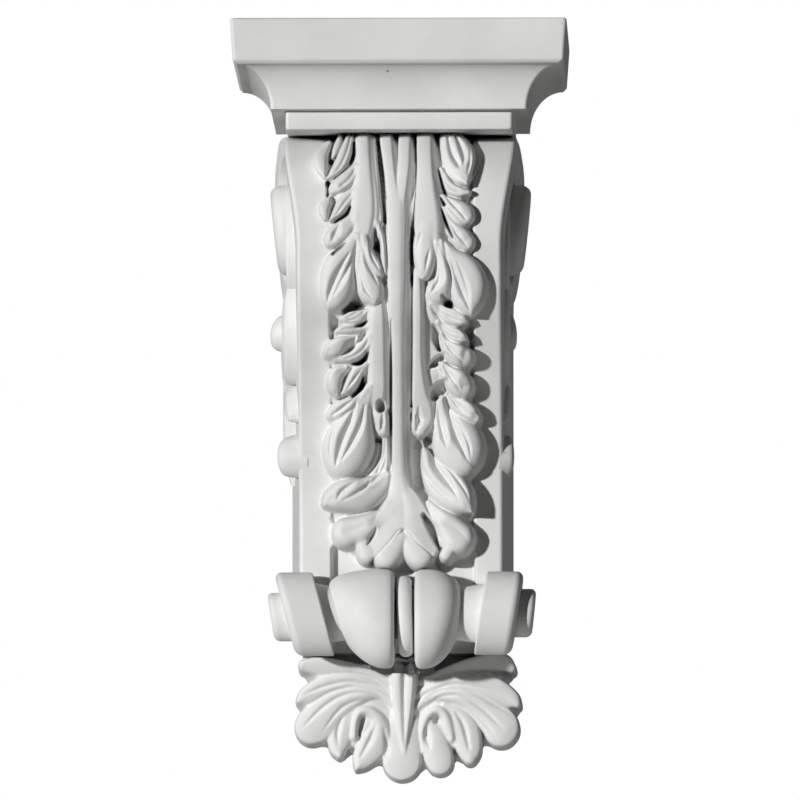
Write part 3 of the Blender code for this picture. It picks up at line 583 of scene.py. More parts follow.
PITS = (
    (((375, 229, 1.5), (375.5, 240, 3), (379, 252, 1)), 9),
    (((380.5, 403, 4), (381, 408, 4.5)), 8),
    (((411.5, 226, 1.3), (411.5, 262, 1.3)), 7),
    (((424, 516, 2.5), (430.5, 527, 4.5), (436, 541, 3), (439.5, 550, 1)), 10),
    (((376.5, 529, 1), (372.5, 536.5, 2.6), (368, 545, 1)), 5),
    (((344, 308, 3), (355, 305, 5), (366, 305, 3)), 9),
    (((443, 296, 2), (447, 302, 4), (451, 306, 2)), 9),
    (((411, 412, 1), (411.5, 420, 1.8), (411, 428, 1)), 7),
    (((411.8, 275, 1.4), (411.9, 330, 1.7), (411.4, 380, 1.7), (410.8, 405, 1.5)), 10),
    (((390.8, 320, 1.1), (391, 365, 1.6), (391, 400, 1.8), (391, 430, 1.4), (391.3, 470, 1)), 10),
    (((415.2, 138, 1.2), (415.8, 165, 1.5), (414.7, 195, 1.6), (412.6, 225, 1.8), (411, 246, 1.8),
      (411.2, 264, 1.4), (411.5, 284, 1.4)), 10),
    (((377, 140, 1.2), (379.5, 165, 1.7), (382.3, 195, 2.2), (384.6, 222, 1.6)), 10),
    (((474, 138, 2.5), (477.5, 150, 3.2), (476, 163, 2.8), (471, 178, 1)), 6),
    (((433, 325, 2), (436, 336, 5), (440, 347, 4)), 8),
    (((426, 436, 1.6), (429, 440, 2.6), (429, 448, 1)), 8),
    (((429.5, 366, 1.5), (436, 361, 4.5), (443, 354.5, 3)), 7),
    (((432.5, 397, 3.5), (438.5, 389.5, 7.5), (446, 381, 3)), 8),
    (((331, 152, 0.6), (330.5, 161, 1.4)), 6),
    (((353.5, 142, 1.3), (353.5, 154, 2), (350, 163, 1.4)), 8),
    (((327.5, 180.5, 2.4), (327.5, 190, 2), (327, 196, 1.2)), 8),
    (((337, 203, 1.6), (333, 213, 0.8)), 6),
    (((350, 206, 1.4), (345.5, 214, 2.1), (335, 221, 1.4)), 8),
    (((333, 253, 2.3), (338, 249, 2), (346, 243, 1.2)), 8),
    (((439, 170, 1), (443, 186, 2.2), (447, 195, 0.8)), 10),
    (((440.5, 197, 1), (444.5, 204, 2)), 10),
    (((441, 208, 1), (446, 222, 2.2), (453, 237, 1)), 10),
    (((441, 370, 1), (445, 386, 1.6), (449, 394, 0.8)), 6),
    (((356, 325.5, 1.2), (362, 323.5, 2.4), (367, 320, 1)), 9),
    (((353, 363, 1.5), (361, 361, 3), (367, 352, 2)), 9),
    (((363, 375, 1.5), (361, 386, 3), (353, 396, 2)), 9),
)
DISHES = (
    ((441, 521, 5), (450, 526, 9), (460, 533, 10), (469, 543, 6)),
    ((338, 532, 3.5), (350, 532, 7), (362, 528, 4)),
)
print("ridges", len(RIDGES), "grooves", len(GROOVES), "pits", len(PITS))

# %% Shell
SHELL = (
    (((398, 700, 12), (370, 716, 18), (352, 734, 12)), 6.3),
    (((412, 700, 12), (440, 716, 18), (456, 736, 12)), 6.3),
    (((404, 672, 14), (404, 700, 14), (404, 740, 14)), 4.5),
    (((400, 686, 4), (372, 674, 6), (345, 668, 8), (318, 665, 9), (304, 664.5, 6.5)), 8),
    (((400, 698, 4), (378, 684, 6), (352, 680, 9), (326, 686, 12), (308, 694, 9.5), (299, 700, 4)), 9),
    (((401, 712, 4), (382, 694, 6), (362, 692, 10), (338, 703, 15), (318, 721, 19.5), (312, 726, 18)), 10),
    (((360, 708, 5), (349, 718, 9), (341, 733, 12.5), (338, 745, 10), (339.5, 754, 4.5)), 9),
    (((357, 767, 3.5), (364, 756, 12), (373, 744, 14.5), (380, 730, 11), (378, 718, 7), (369, 710.5, 5.5),
      (360, 712, 5), (355.5, 721, 4.5), (354, 736, 5)), 10.5),
    (((404, 690, 12), (404, 715, 15), (403.5, 740, 17.5), (402, 760, 20)), 8.5),
    (((411, 686, 4), (442, 674, 6.5), (470, 666, 9), (500, 661, 9.5), (511, 667, 5.5)), 5),
    (((411, 698, 4), (438, 684, 6.5), (466, 682, 10), (492, 688, 12.5), (510, 697, 9.5), (517, 703, 5)), 9),
    (((411, 712, 4), (434, 694, 7), (460, 694, 11), (484, 707, 15), (500, 724, 18.5), (501, 729, 17.5)),
     10),
    (((444, 706, 6), (456, 716, 11), (465, 731, 15), (469, 747, 13), (470, 757, 7.5)), 9.5),
    (((431, 722, 6), (434, 738, 12), (438, 754, 15), (440, 760.5, 14)), 9.5),
    (((424, 750, 4), (422.5, 730, 5), (427.5, 715, 5), (437, 709.5, 5), (445, 715, 5.5), (449, 727, 6),
      (452, 738, 4)), 10.5),
)
SHELL_RIDGES = (
    (((397.5, 664, 6.5, 13), (399, 700, 6, 13), (402, 735, 3.4, 11.5), (404, 754, 1.2, 9)), 0.15, (), 0),
    (((412.5, 664, 6.5, 13), (410.5, 700, 6, 13), (407, 735, 3.4, 11.5), (405, 754, 1.2, 9)), 0.6, (), 0),
)
SHELL_GROOVES = (
    ((303, 727, 0.5), (322, 708, 1.6), (341, 696, 1.6), (361, 692, 1.4), (380, 699, 1.2), (394, 714, 0.6)),
    ((300, 696, 0.5), (324, 686, 1.4), (350, 681, 1.4), (374, 686, 1.2), (392, 698, 0.5)),
    ((343, 716, 0.6), (338, 730, 1.8), (338, 745, 0.5)),
    ((376, 724, 1), (371, 738, 2.2), (361, 756, 1)),
    ((427, 706, 0.5), (441, 696, 1.2), (462, 696, 1.5), (484, 710, 1.7), (504, 730, 0.5)),
    ((425, 695, 0.5), (450, 684, 1.2), (480, 687, 1.4), (510, 699, 0.5)),
    ((456, 712, 0.8), (464, 726, 2), (469, 748, 1)),
    ((426.5, 726, 1), (427, 736, 2.6), (430, 748, 0.8)),
    ((384, 728, 0.8), (387, 745, 2), (385, 760, 1)),
    ((330, 672, 0.4), (352, 672.5, 1.1), (374, 680, 1.2), (392, 692, 0.6)),
    ((309, 703, 0.4), (332, 690.5, 1.1), (356, 687, 1.2), (376, 692, 1.2), (391, 706, 0.6)),
    ((322, 732, 0.4), (338, 711, 1.3), (354, 701, 1.2), (371, 700, 0.6)),
    ((421, 690, 0.6), (442, 679, 1.2), (468, 675, 1.1), (498, 668, 0.4)),
    ((422, 700, 0.6), (444, 689.5, 1.2), (470, 691.5, 1.2), (497, 706, 1.1), (514, 716, 0.4)),
    ((448, 701, 0.5), (466, 707, 1.2), (484, 722, 1.2), (496, 737, 0.4)),
)
SHELL_PITS = (
    (((388, 664, 8), (417, 664, 8)), 28),
    (((363, 717.5, 3), (361, 726, 2.6), (358.5, 735, 1.2)), 5),
    (((437, 717.5, 3.6), (436.5, 719.5, 3.6)), 5),
)
print("shell bands", len(SHELL))

# %% [markdown]
# ## Laying the pieces over one another
#
# A carver works from the ground up, and so does this field of heights: it keeps the higher of what is there
# and what comes on, and fills the crease between them a little. A height field can't be undercut. To make
# the walls of the leaves steeper than the grid allows, the grid's points beside a leaf are pulled in toward
# it. Under the rim of the crest the order turns round: the ground is cleared there first, and the petals
# are laid under the rim.

# %% One piece over the field
def soften(h, rounds):
    """Averages each height with its neighbours by the weights 1, 2 and 1, as paint and a worn mould do."""
    for _ in range(rounds):
        h[1:-1] = 0.25 * h[:-2] + 0.5 * h[1:-1] + 0.25 * h[2:]
        h[:, 1:-1] = 0.25 * h[:, :-2] + 0.5 * h[:, 1:-1] + 0.25 * h[:, 2:]
    return h


def lay(field, at, height, soft, distance, away, pull, under):
    """Lays one piece over the field and pulls its wall in to it, down to `under` below its foot.

    Each point of the wall is moved by `pull` times its distance, back along the way out of the piece.
    """
    h, shift_x, shift_z = field
    wins = (height > h[at] - under) & ((distance > 0) | (height > h[at]))
    back = pull * np.clip(distance, 0, WALL_REACH)
    shift_x[at] = np.where(wins, -back * away[0], shift_x[at])
    shift_z[at] = np.where(wins, -back * away[1], shift_z[at])
    h[at] = higher(h[at], height, soft)


def placed(rows, x, z, out_of, over=9.0):
    """A row's path in millimetres, and which points it can touch."""
    path = from_photo(rows, out_of, over)
    return path, near_path(x, z, path)


def blank(start):
    """A field that starts at the given heights, with no shifts."""
    return [start.copy(), np.zeros(start.shape), np.zeros(start.shape)]


print("a field is heights and two shifts:", len(blank(np.zeros((2, 2)))), "arrays")

# %% Raised pieces, petals and cuts
PULL = 0.8
UNDER = 3.2


def raise_ridges(x, z, field, out_of, ridges):
    """Lays the stems over the field."""
    for rows, fall, flutes, soft_side in ridges:
        path, at = placed(rows, x, z, out_of)
        lay(field, at, *ridge(x[at], z[at], path, fall, flutes, soft_side), PULL, UNDER)


def raise_lobes(x, z, field, out_of, group, *form):
    """Lays a group of lobes over the field, all of one form: start, reach, droop and softness."""
    for rows, rise, flutes in group:
        path, at = placed(rows, x, z, out_of, 0.8 * rise)
        lay(field, at, *lobe(x[at], z[at], path, rise, flutes, *form), PULL, UNDER)


def set_petals(x, z, field, out_of, floor):
    """Clears the ground below the crest's rim and lays the petals there, under the rim."""
    rim = from_photo(RIM, out_of, RIM_RISE)
    rim_height = np.interp(x, rim[:, 0], rim[:, 1], left=-1e3, right=-1e3)
    below = (z < rim_height) & (z > rim[:, 1].min() - RIM_DEEP)
    for part, value in zip(field, (floor, 0, 0)):
        part[below] = value
    for rows, rise in PETALS:
        path, at = placed(rows, x, z, out_of, rise)
        at &= below
        lay(field, at, *lobe(x[at], z[at], path, rise, (), *PETAL_FORM), PULL, PETAL_UNDER)


def cut_grooves(x, z, h, out_of, grooves, slope):
    """Takes the grooves out of the heights."""
    for rows in grooves:
        path, at = placed(rows, x, z, out_of)
        h[at] -= groove(x[at], z[at], path, slope)


def cut_pits(x, z, h, out_of, pits):
    """Takes the pits out of the heights."""
    for rows, depth in pits:
        path, at = placed(rows, x, z, out_of)
        h[at] -= pit(x[at], z[at], path, depth)


print("the points beside a leaf are pulled in by", PULL, "of their distance")

# %% The front
# Each group of lobes, then their start, reach, droop and softness.
LEAVES = (
    (WEBS, 0.9, 0.6, 0.12, 0.5),
    (UPPER_LEFT, 0.8, 0.6, 0.12, 0.5),
    (UPPER_RIGHT, 0.8, 0.9, 0.12, 0.5),
    (LOWER_LEFT, 0.65, 0.7, 0.12, 0.5),
    (LEFT_TIPS, 0.5, 0.7, 0.12, 0.5),
    (LOWER_RIGHT, 0.5, 0.85, 0.12, 0.5),
    (CREST, 0.6, 0.6, 0.0, 4.0),
    (FOLDS, 1.0, 0.6, 0.0, 1.0),
)
# Start, reach, droop, softness and the softness added at the base.
PETAL_FORM = (0.95, 0.6, 0.0, 0.5, 0.0)
PETAL_UNDER = 0.5
RIM_RISE, RIM_DEEP = 18.0, 12.0
PANEL_RUN_OUT = 20.0
GROOVE_SLOPE, DISH_SLOPE = 2.4, 0.35


def front(x, z):
    """Heights over the margins, and the shifts: the panel, the carving and a worn mould's softness."""
    top = bump(SCROLL_UP + SCROLL_RADIUS - z, 0, PANEL_RUN_OUT)
    panel = bump(x - PANEL_LEFT, 0, PANEL_SLOPE) * bump(PANEL_RIGHT - x, 0, PANEL_SLOPE) * top
    field = blank(-PANEL_SUNK * panel)
    h = field[0]
    floor = -PANEL_SUNK - 0.2
    raise_ridges(x, z, field, front_out, RIDGES)
    for group, *form in LEAVES:
        raise_lobes(x, z, field, front_out, group, *form)
    set_petals(x, z, field, front_out, floor)
    np.maximum(h, floor, out=h)
    cut_grooves(x, z, h, front_out, GROOVES, GROOVE_SLOPE)
    cut_grooves(x, z, h, front_out, DISHES, DISH_SLOPE)
    cut_pits(x, z, h, front_out, PITS)
    return [soften(part, 1) for part in field]


print("front", sum(len(group) for group, *_ in LEAVES), "lobes and webs,", len(PETALS), "petals")

# %% The shell's front
SHELL_BACK = 25.0
BAND_PULL, BAND_UNDER = 0.92, 15
SHELL_GROOVE_SLOPE = 2.2


def shell_front(x, z):
    """Heights over the shell's ground, and shifts; outside the shell the height is behind the wall."""
    behind = -(shell_ground(z) + SHELL_BACK)
    field = blank(behind)
    h = field[0]
    for rows, rise in SHELL:
        path, at = placed(rows, x, z, shell_out)
        lay(field, at, *band(x[at], z[at], path, rise), BAND_PULL, BAND_UNDER)
    raise_ridges(x, z, field, shell_out, SHELL_RIDGES)
    np.maximum(h, behind, out=h)
    cut_grooves(x, z, h, shell_out, SHELL_GROOVES, SHELL_GROOVE_SLOPE)
    cut_pits(x, z, h, shell_out, SHELL_PITS)
    return [soften(part, 1) for part in field]


print("shell", len(SHELL), "bands,", len(SHELL_GROOVES), "grooves")

# %% [markdown]
# ## Closed skins
#
# Every form below is a stack of rings with the same number of points, closed at both ends. Blender could
# extrude, spin or bevel its way to these shapes. One helper that joins ring to ring does for all of them,
# and a closed skin can be joined with the next by a Boolean without a leak.

# %% Stack of rings
def closed_loft(rings):
    """A closed skin through closed sections of the same point count, with both ends filled.

    Point k of ring i is joined to point k of ring i + 1 and to the next point of both, which makes one
    quad.
    """
    rings = np.asarray(rings, float)
    count, size = rings.shape[:2]
    at = np.arange(count * size).reshape(count, size)
    after = np.roll(at, -1, axis=1)
    faces = np.stack([at[:-1], after[:-1], after[1:], at[1:]], -1).reshape(-1, 4).tolist()
    faces += [at[0][::-1].tolist(), at[-1].tolist()]
    return rings.reshape(-1, 3), faces


def box(x0, x1, out0, out1, z0, z1):
    """A closed box between the given sides."""
    section = ((x0, -out1), (x1, -out1), (x1, -out0), (x0, -out0))
    return closed_loft([[(x, y, z) for x, y in section] for z in (z1, z0)])


print("a box has", len(box(0, 1, 0, 1, 0, 1)[0]), "points")

# %% [markdown]
# ## Body
#
# The body is a block with an S-shaped front. Its front is one strip that carries all the carving, and a
# raised margin with a rounded edge runs down each side of it. A ring at each height goes round the block:
# from the wall along one side, round the edge and over the margin, across the carved strip and back the
# same way. The grid of the strip is about half a millimetre, fine enough for the flutes.

# %% Body
GRID = 0.52
RELIEF_HALF, RELIEF_TOP, RELIEF_FOOT = 61.0, 182.0, -117.0
FOOT_HEIGHTS, FOOT_OUTS = (BODY_FOOT, -155, -140, -122), (50, 58, 66, 74)
BAND_FOOT_IN, WALL_FOOT_IN, WALL_TOP_OUT = 4, 7, 2
# Between these heights the margin and the side wall widen, and below the crest both narrow again.
BAND_WIDENS, WALL_WIDENS, NARROWS_BELOW = (100, 182), (60, 182), (110, 160)
EDGE_RADIUS = 3.2
SIDE_OUT, INSIDE_WALL = -10, (8.0, -1.0)


def body():
    """Rings at each height, from the wall round the margins and across the carved front between them."""
    heights = np.concatenate([SCROLL_UP + SCROLL_RADIUS * np.sin(np.radians([90, 88])),
                              np.arange(RELIEF_TOP + 0.2, RELIEF_FOOT - 1, -GRID),
                              np.arange(RELIEF_FOOT - 3, BODY_FOOT, -4), [BODY_FOOT]])
    middle = np.linspace(-RELIEF_HALF, RELIEF_HALF, int(2 * RELIEF_HALF / GRID))
    x, z = np.meshgrid(middle, heights)
    h, shift_x, shift_z = front(x, z)
    inner = (np.abs(x) < RELIEF_HALF - 0.5) & (z > RELIEF_FOOT) & (z < RELIEF_TOP)
    x, z = x + shift_x * inner, z + shift_z * inner
    low = FOOT_HEIGHTS[-1]
    outs = np.where(heights < low, np.interp(heights, FOOT_HEIGHTS, FOOT_OUTS), line_out(heights))
    carved = np.where(z < low, outs[:, None] + h, front_out(z, h))
    narrowing = bump(-heights, *NARROWS_BELOW)
    wide = BAND_HALF + (BAND_HALF_TOP - BAND_HALF) * bump(heights, *BAND_WIDENS) - BAND_FOOT_IN * narrowing
    wall_top = BAND_HALF_TOP + WALL_TOP_OUT
    wall = WALL_HALF + (wall_top - WALL_HALF) * bump(heights, *WALL_WIDENS) - WALL_FOOT_IN * narrowing
    side_x, side_y = [wall, wall], [np.full_like(wall, y) for y in INSIDE_WALL]
    for k in (0.0, 0.35, 0.7):
        side_x.append(wall + (wide - wall) * k)
        side_y.append(SIDE_OUT + (-outs + EDGE_RADIUS - SIDE_OUT) * k)
    for a in np.radians(np.linspace(0, 90, 7)):
        side_x.append(wide - EDGE_RADIUS + EDGE_RADIUS * np.cos(a))
        side_y.append(-outs + EDGE_RADIUS - EDGE_RADIUS * np.sin(a))
    for k in (0.3, 0.6, 0.85):
        side_x.append(wide - EDGE_RADIUS + (RELIEF_HALF - wide + EDGE_RADIUS) * k)
        side_y.append(-outs)
    side_x, side_y = np.stack(side_x, 1), np.stack(side_y, 1)
    n = side_x.shape[1]
    rings = np.zeros((len(heights), len(middle) + 2 * n, 3))
    rings[..., 2] = heights[:, None]
    rings[:, :n, 0], rings[:, :n, 1] = side_x, side_y
    rings[:, n:-n, 0], rings[:, n:-n, 1] = x[:, ::-1], -carved[:, ::-1]
    rings[:, n:-n, 2] = z[:, ::-1]
    rings[:, -n:, 0], rings[:, -n:, 1] = -side_x[:, ::-1], side_y[:, ::-1]
    return closed_loft(rings)


BODY = body()
print("body", len(BODY[0]), "points")

# %% [markdown]
# ## Shell
#
# Below the roll a shell of petals spreads out, with curled ones in front. It is one more height field, over
# a ground that leans back to the wall. Outside the petals the heights lie behind the wall, so that the cut
# at the wall gives the shell its outline.

# %% Shell below the roll
SHELL_HALF, SHELL_TOP, SHELL_FOOT, SHELL_GRID = 92, -160, -258.5, 0.75
SHELL_REAR = 30


def shell():
    """The shell's front over a flat back that lies behind the wall."""
    heights = np.arange(SHELL_TOP, SHELL_FOOT, -SHELL_GRID)
    across = np.arange(-SHELL_HALF, SHELL_HALF + 0.1, SHELL_GRID)
    x, z = np.meshgrid(across, heights)
    h, shift_x, shift_z = shell_front(x, z)
    out = shell_ground(z) + h
    x, z = x + shift_x, z + shift_z
    rings = np.zeros((len(heights), len(across) + 2, 3))
    rings[..., 2] = heights[:, None]
    rings[:, 0, :2], rings[:, 1, :2] = (-SHELL_HALF, SHELL_REAR), (SHELL_HALF, SHELL_REAR)
    rings[:, 2:, 0], rings[:, 2:, 1], rings[:, 2:, 2] = x[:, ::-1], -out[:, ::-1], z[:, ::-1]
    return closed_loft(rings)


SHELL_SOLID = shell()
print("shell", len(SHELL_SOLID[0]), "points")

# %% [markdown]
# ## Cap
#
# The cap is a moulding that runs round three sides and is mitred at the corners: a fascia, a small lip, a
# hollow cove and a plain slab. The profile could be swept with a Screw or a curve. Here one outline is
# stepped in by the profile's inset at each height, which keeps the mitres true and takes a small radius at
# every edge. The foot of the slab stands 1.8 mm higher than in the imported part, where the photograph shows
# it.

# %% Cap
def cap():
    """One outline for each (inset, height) of the profile; the cove is a quarter of an ellipse."""
    cove_top = FASCIA_FOOT - 1.5
    foot = FASCIA_TAPER + LIP
    inner = foot + COVE_STEP
    profile = [(2.2, CAP_TOP), (1.0, CAP_TOP - 0.25), (0.3, CAP_TOP - 0.9), (0.0, CAP_TOP - 2.2)]
    profile += [(FASCIA_TAPER * k, CAP_TOP - 2.2 - (CAP_TOP - FASCIA_FOOT - 4.0) * k)
                for k in (0.33, 0.66, 1.0)]
    profile += [(FASCIA_TAPER + 0.3, FASCIA_FOOT + 0.7), (FASCIA_TAPER + 1.2, FASCIA_FOOT), (foot, cove_top)]
    profile += [(foot + COVE_STEP * np.sin(a), COVE_FOOT + (cove_top - COVE_FOOT) * np.cos(a))
                for a in np.linspace(0, np.pi / 2, 19)[1:]]
    profile += [(inner + SLAB_STEP - 1.0, COVE_FOOT), (inner + SLAB_STEP - 0.3, COVE_FOOT - 0.3),
                (inner + SLAB_STEP, COVE_FOOT - 1.0), (inner + SLAB_STEP, SLAB_FOOT + 1.0),
                (inner + SLAB_STEP + 0.8, SLAB_FOOT - 0.2)]
    turn = np.linspace(0, np.pi / 2, 7)
    rings = []
    for inset, z in profile:
        half, out = CAP_HALF - inset, CAP_OUT - inset
        right = [(half - CORNER + CORNER * np.cos(a), -(out - CORNER + CORNER * np.sin(a))) for a in turn]
        left = [(-x, y) for x, y in right[::-1]]
        outline = [(half, INSIDE_WALL[0])] + right + left + [(-half, INSIDE_WALL[0])]
        rings.append([(x, y, z) for x, y in outline])
    return closed_loft(np.array(rings)[:, ::-1])


CAP = cap()
print("cap", len(CAP[0]), "points")

# %% [markdown]
# ## Roll
#
# The roll lies across the foot like a turned baluster: a boss and a drum at each end, two bells that face
# each other and a thin disc between them. On the real one every part leans a little. A lathe profile spun
# round one axis can't lean, so each ring is shifted sideways by its height over the axis.

# %% Turned parts of the roll
def turned(profile, up, segments=96):
    """A solid of revolution round the roll's axis from rows of (x, radius, lean).

    The point at the angle a of a ring lies at radius cos(a) out and radius sin(a) up, and the lean moves it
    sideways by that height over the drum's radius.
    """
    angle = np.linspace(0, 2 * np.pi, segments, endpoint=False)
    rings = []
    for x, radius, lean in profile:
        across = x - lean * np.sin(angle) * radius / DRUM_RADIUS
        out = ROLL_OUT + radius * np.cos(angle)
        rings.append(np.stack([across, -out, up + radius * np.sin(angle)], -1))
    return closed_loft(rings)


def disc(x0, x1, radius, lean, start_round, end_round):
    """The profile of a thick disc between x0 and x1, each rim a quarter-circle of its own radius."""
    turn = np.radians(np.linspace(0, 90, 8))
    start = [(x0 + start_round * (1 - np.sin(a)), radius - start_round * (1 - np.cos(a)), lean)
             for a in turn[::-1]]
    end = [(x1 - end_round * (1 - np.sin(a)), radius - end_round * (1 - np.cos(a)), lean)
           for a in turn]
    return [(x0, radius * 0.4, lean)] + start + end + [(x1, radius * 0.4, lean)]


def neck(x0, x1):
    """The profile of the roll's core: its radius plus its flare times |p|^3, with p from -1 to 1 along it."""
    part = np.linspace(-1, 1, 25)
    return [(x0 + (x1 - x0) * (p + 1) / 2, NECK_RADIUS + NECK_FLARE * abs(p) ** 3, 0) for p in part]


print("disc profile", len(disc(0, 10, 20, 0, 2, 2)), "rings, neck profile", len(neck(0, 1)), "rings")

# %% Bells, and the whole roll
def bell(tip, end, up, tip_up, across, full, blunt):
    """Half an egg from its tip to its blunt end, rounded off there. Its sections are ellipses.

    With u the share of the way from the tip, a section's half-height is that of a superellipse of power
    `full`, its half-depth that of one of power `blunt`, and its centre comes down from tip_up to up.
    """
    u = np.concatenate([np.linspace(0.04, 0.9, 30) ** 1.6, [0.9, 0.94, 0.965, 0.985, 1.0]])
    high = BELL_RADIUS * np.sqrt(1 - (1 - np.clip(u / across, 0, 1)) ** full)
    deep = BELL_RADIUS * np.sqrt(1 - (1 - np.clip(u / across, 0, 1)) ** blunt)
    for half in (high, deep):
        half[-5:] -= (0.2, 0.7, 1.5, 2.8, 5.0)
    centre = up + (tip_up - up) * (1 - u) ** 2.5
    angle = np.linspace(0, 2 * np.pi, 96, endpoint=False)
    rings = []
    for at, r, d, c in zip(u, high, deep, centre):
        x = tip + (end - tip) * at + 0 * angle
        rings.append(np.stack([x, -(ROLL_OUT + d * np.cos(angle)), c + r * np.sin(angle)], -1))
    return closed_loft(rings)


# A disc is given from x to x, with its radius, its lean and the rounding of its two rims.
# A bell is given from its tip to its blunt end, with the height of each and the shares that shape its egg.
ROLL = [
    turned(neck(-62, 62), ROLL_UP),
    turned(disc(-89, -50, BOSS_RADIUS, 4.5, 4.0, 2.0), ROLL_UP - 2),
    turned(disc(-79.5, -53, DRUM_RADIUS, 7.5, 5.5, 1.6), ROLL_UP),
    bell(-50.4, -4.2, -148.0, -131.0, 0.8, 1.6, 2.2),
    turned(disc(-2.6, 8.2, DISC_RADIUS, 0.8, 5.0, 5.0), ROLL_UP - 1.6),
    bell(43.2, 9.6, -148.3, -139.0, 0.8, 2.0, 3.6),
    turned(disc(54.5, 80, DRUM_RADIUS, -4.5, 1.6, 5.5), ROLL_UP + 0.5),
    turned(disc(50, 91, BOSS_RADIUS, -3, 2.0, 4.0), ROLL_UP + 0.5),
]
print("roll", sum(len(points) for points, _ in ROLL), "points")

# %% [markdown]
# ## Scroll sides
#
# On each side of the body the front band winds in to a scroll. The photograph shows it from the edge only,
# as a horn that swells over the side and a thick drum at its heart. The drum is turned round a centre a
# little above the scroll's and leans out at its top. The horn follows the scroll as a strip whose radius,
# width and height all change with the angle.

# %% Heart of the scroll
HEART_PROFILE = (
    (31, 40.0), (31, 7.0), (30.5, 4.8), (29.4, 2.8), (27.8, 1.2), (25.6, 0.2), (23, 0), (21.5, 0.6),
    (20, 2.6), (18, 4.2), (15, 4.9), (12.5, 5), (11.2, 4), (10.2, 1.8), (9, 0.7), (7, 0.1), (3, 0),
)


def heart(side):
    """A drum turned from (radius, drop) under its face; its face leans out by the sine of the angle."""
    angle = np.linspace(0, 2 * np.pi, 72, endpoint=False)
    face = (HEART_TOP + HEART_FOOT) / 2
    lean = (HEART_TOP - HEART_FOOT) / 2
    rings = []
    for radius, drop in HEART_PROFILE:
        buried = drop > 20
        x = face - drop + (0 * angle if buried else lean * np.sin(angle) * radius / HEART_RADIUS)
        out = SCROLL_OUT + radius * np.cos(angle)
        rings.append(np.stack([side * x, -out, HEART_UP + radius * np.sin(angle)], -1))
    return closed_loft(rings if side < 0 else np.array(rings)[:, ::-1])


print("heart", len(heart(1)[0]), "points")

# %% Horn round the scroll
HORN_FROM, HORN_TO = 38, 430
HORN_FOOT = 50
RIGHT_LOWER = 3


def smooth_table(at, places, values, reach):
    """A table read with rounded corners: the mean of nine linear readings up to `reach` to each side."""
    return np.mean([np.interp(at + s, places, values) for s in np.linspace(-1, 1, 9) * reach], axis=0)


def by_angle(turn, degrees, values):
    """A smooth table over the angle, its places given in degrees."""
    return smooth_table(turn, np.radians(degrees), values, 0.18)


def turned_band(side):
    """The band carried on round the side as a rising, narrowing horn that winds in to the drum.

    Radius and height are tables over the angle, and the width is a table over the share of the way. A
    section is a crowned strip between the outer and the inner radius, on straight walls.
    """
    turn = np.radians(np.linspace(HORN_FROM, HORN_TO, 110))
    part = (turn - turn[0]) / (turn[-1] - turn[0])
    outer = by_angle(turn, (HORN_FROM, 90, 180, 270, 360, HORN_TO), (69.6, 69.6, 62, 44, 37, 33))
    inner = outer - smooth_table(part, (0, 0.3, 1), (10, 20, 9), 0.05)
    high = by_angle(turn, (HORN_FROM, 90, 135, 190, 270, HORN_TO), (71, 83, 87.5, 85, 77.5, 79))
    high = high - (RIGHT_LOWER if side > 0 else 0)
    rings = []
    for a, far, near, top in zip(turn, outer, inner, high):
        radius = np.array([far, far, far - 0.7, far - 2.0, (2 * far + near) / 3, (far + 2 * near) / 3,
                           near + 2.5, near + 0.6, near, near])
        x = np.array([HORN_FOOT, top - 2.2, top - 0.7, top, top - 0.9, top - 1.3,
                      top - 1.0, top - 2.0, top - 4, HORN_FOOT])
        out = SCROLL_OUT + radius * np.cos(a)
        rings.append(np.stack([side * x, -out, SCROLL_UP + radius * np.sin(a)], -1))
    return closed_loft(rings if side > 0 else np.array(rings)[:, ::-1])


SCROLLS = [heart(-1), heart(1), turned_band(-1), turned_band(1)]
print("scrolls", sum(len(points) for points, _ in SCROLLS), "points")

# %% [markdown]
# ## Side relief
#
# Below the scroll each side carries one small spray of leaves. The photograph shows only its bumps in the
# outline, so it is finished more plainly than the front. A second height field would need a grid over the
# whole side for a few leaves. Instead each leaf is a skin of its own, swept along a path in the plane of
# the side with its foot sunk in.

# %% Swept lobe
SIDE_SUNK = -8.0


def swept(path, place, flutes):
    """A closed lobe along a path of (u, v, half-width, rise), with its foot buried in the side.

    With c from -1 to 1 across, a section is the rise times (1 - 0.35 |c|^2.5), rounded off past |c| = 0.86,
    less a bell-shaped valley for each flute (c, depth). `place` turns u, v and the height into a point of
    one side.
    """
    path = np.array(path, float)
    t = np.linspace(0, len(path) - 1, 36)
    u, v, half, rise = (smooth_through(path[:, i], t) for i in range(4))
    half, rise = np.maximum(half, 0.4), np.maximum(rise, 0.3)
    way = np.gradient(np.stack([u, v], -1), axis=0)
    way /= np.linalg.norm(way, axis=1, keepdims=True)
    across = np.linspace(-1, 1, 21)
    rings = []
    for i in range(len(t)):
        h = rise[i] * (1 - 0.35 * np.abs(across) ** 2.5)
        h = h - 1.6 * rise[i] * np.clip(np.abs(across) - 0.86, 0, 1)
        fade = np.sin(np.pi * i / (len(t) - 1)) ** 0.7
        for at, depth in flutes:
            h = h - depth * fade * np.exp(-(np.abs(across - at) / 0.13) ** 1.7)
        side = np.concatenate([half[i] * across, [half[i] * 1.15 + 0.8, -half[i] * 1.15 - 0.8]])
        h = np.concatenate([h, [SIDE_SUNK, SIDE_SUNK]])
        rings.append(place(u[i] - side * way[i, 1], v[i] + side * way[i, 0], h))
    return closed_loft(rings)


print("a leaf has its foot", -SIDE_SUNK, "mm inside the body")

# %% Spray on each side
LEFT_AT, RIGHT_AT, RIGHT_SHARE = 72, 71, 0.5


def left_side(u, v, h):
    """The left side: u in front of the wall, v up, h outward."""
    return np.stack([-(LEFT_AT + h), -u, v], -1)


def right_side(u, v, h):
    """The right side, whose relief is half as high."""
    return np.stack([RIGHT_AT + RIGHT_SHARE * h, -u, v], -1)


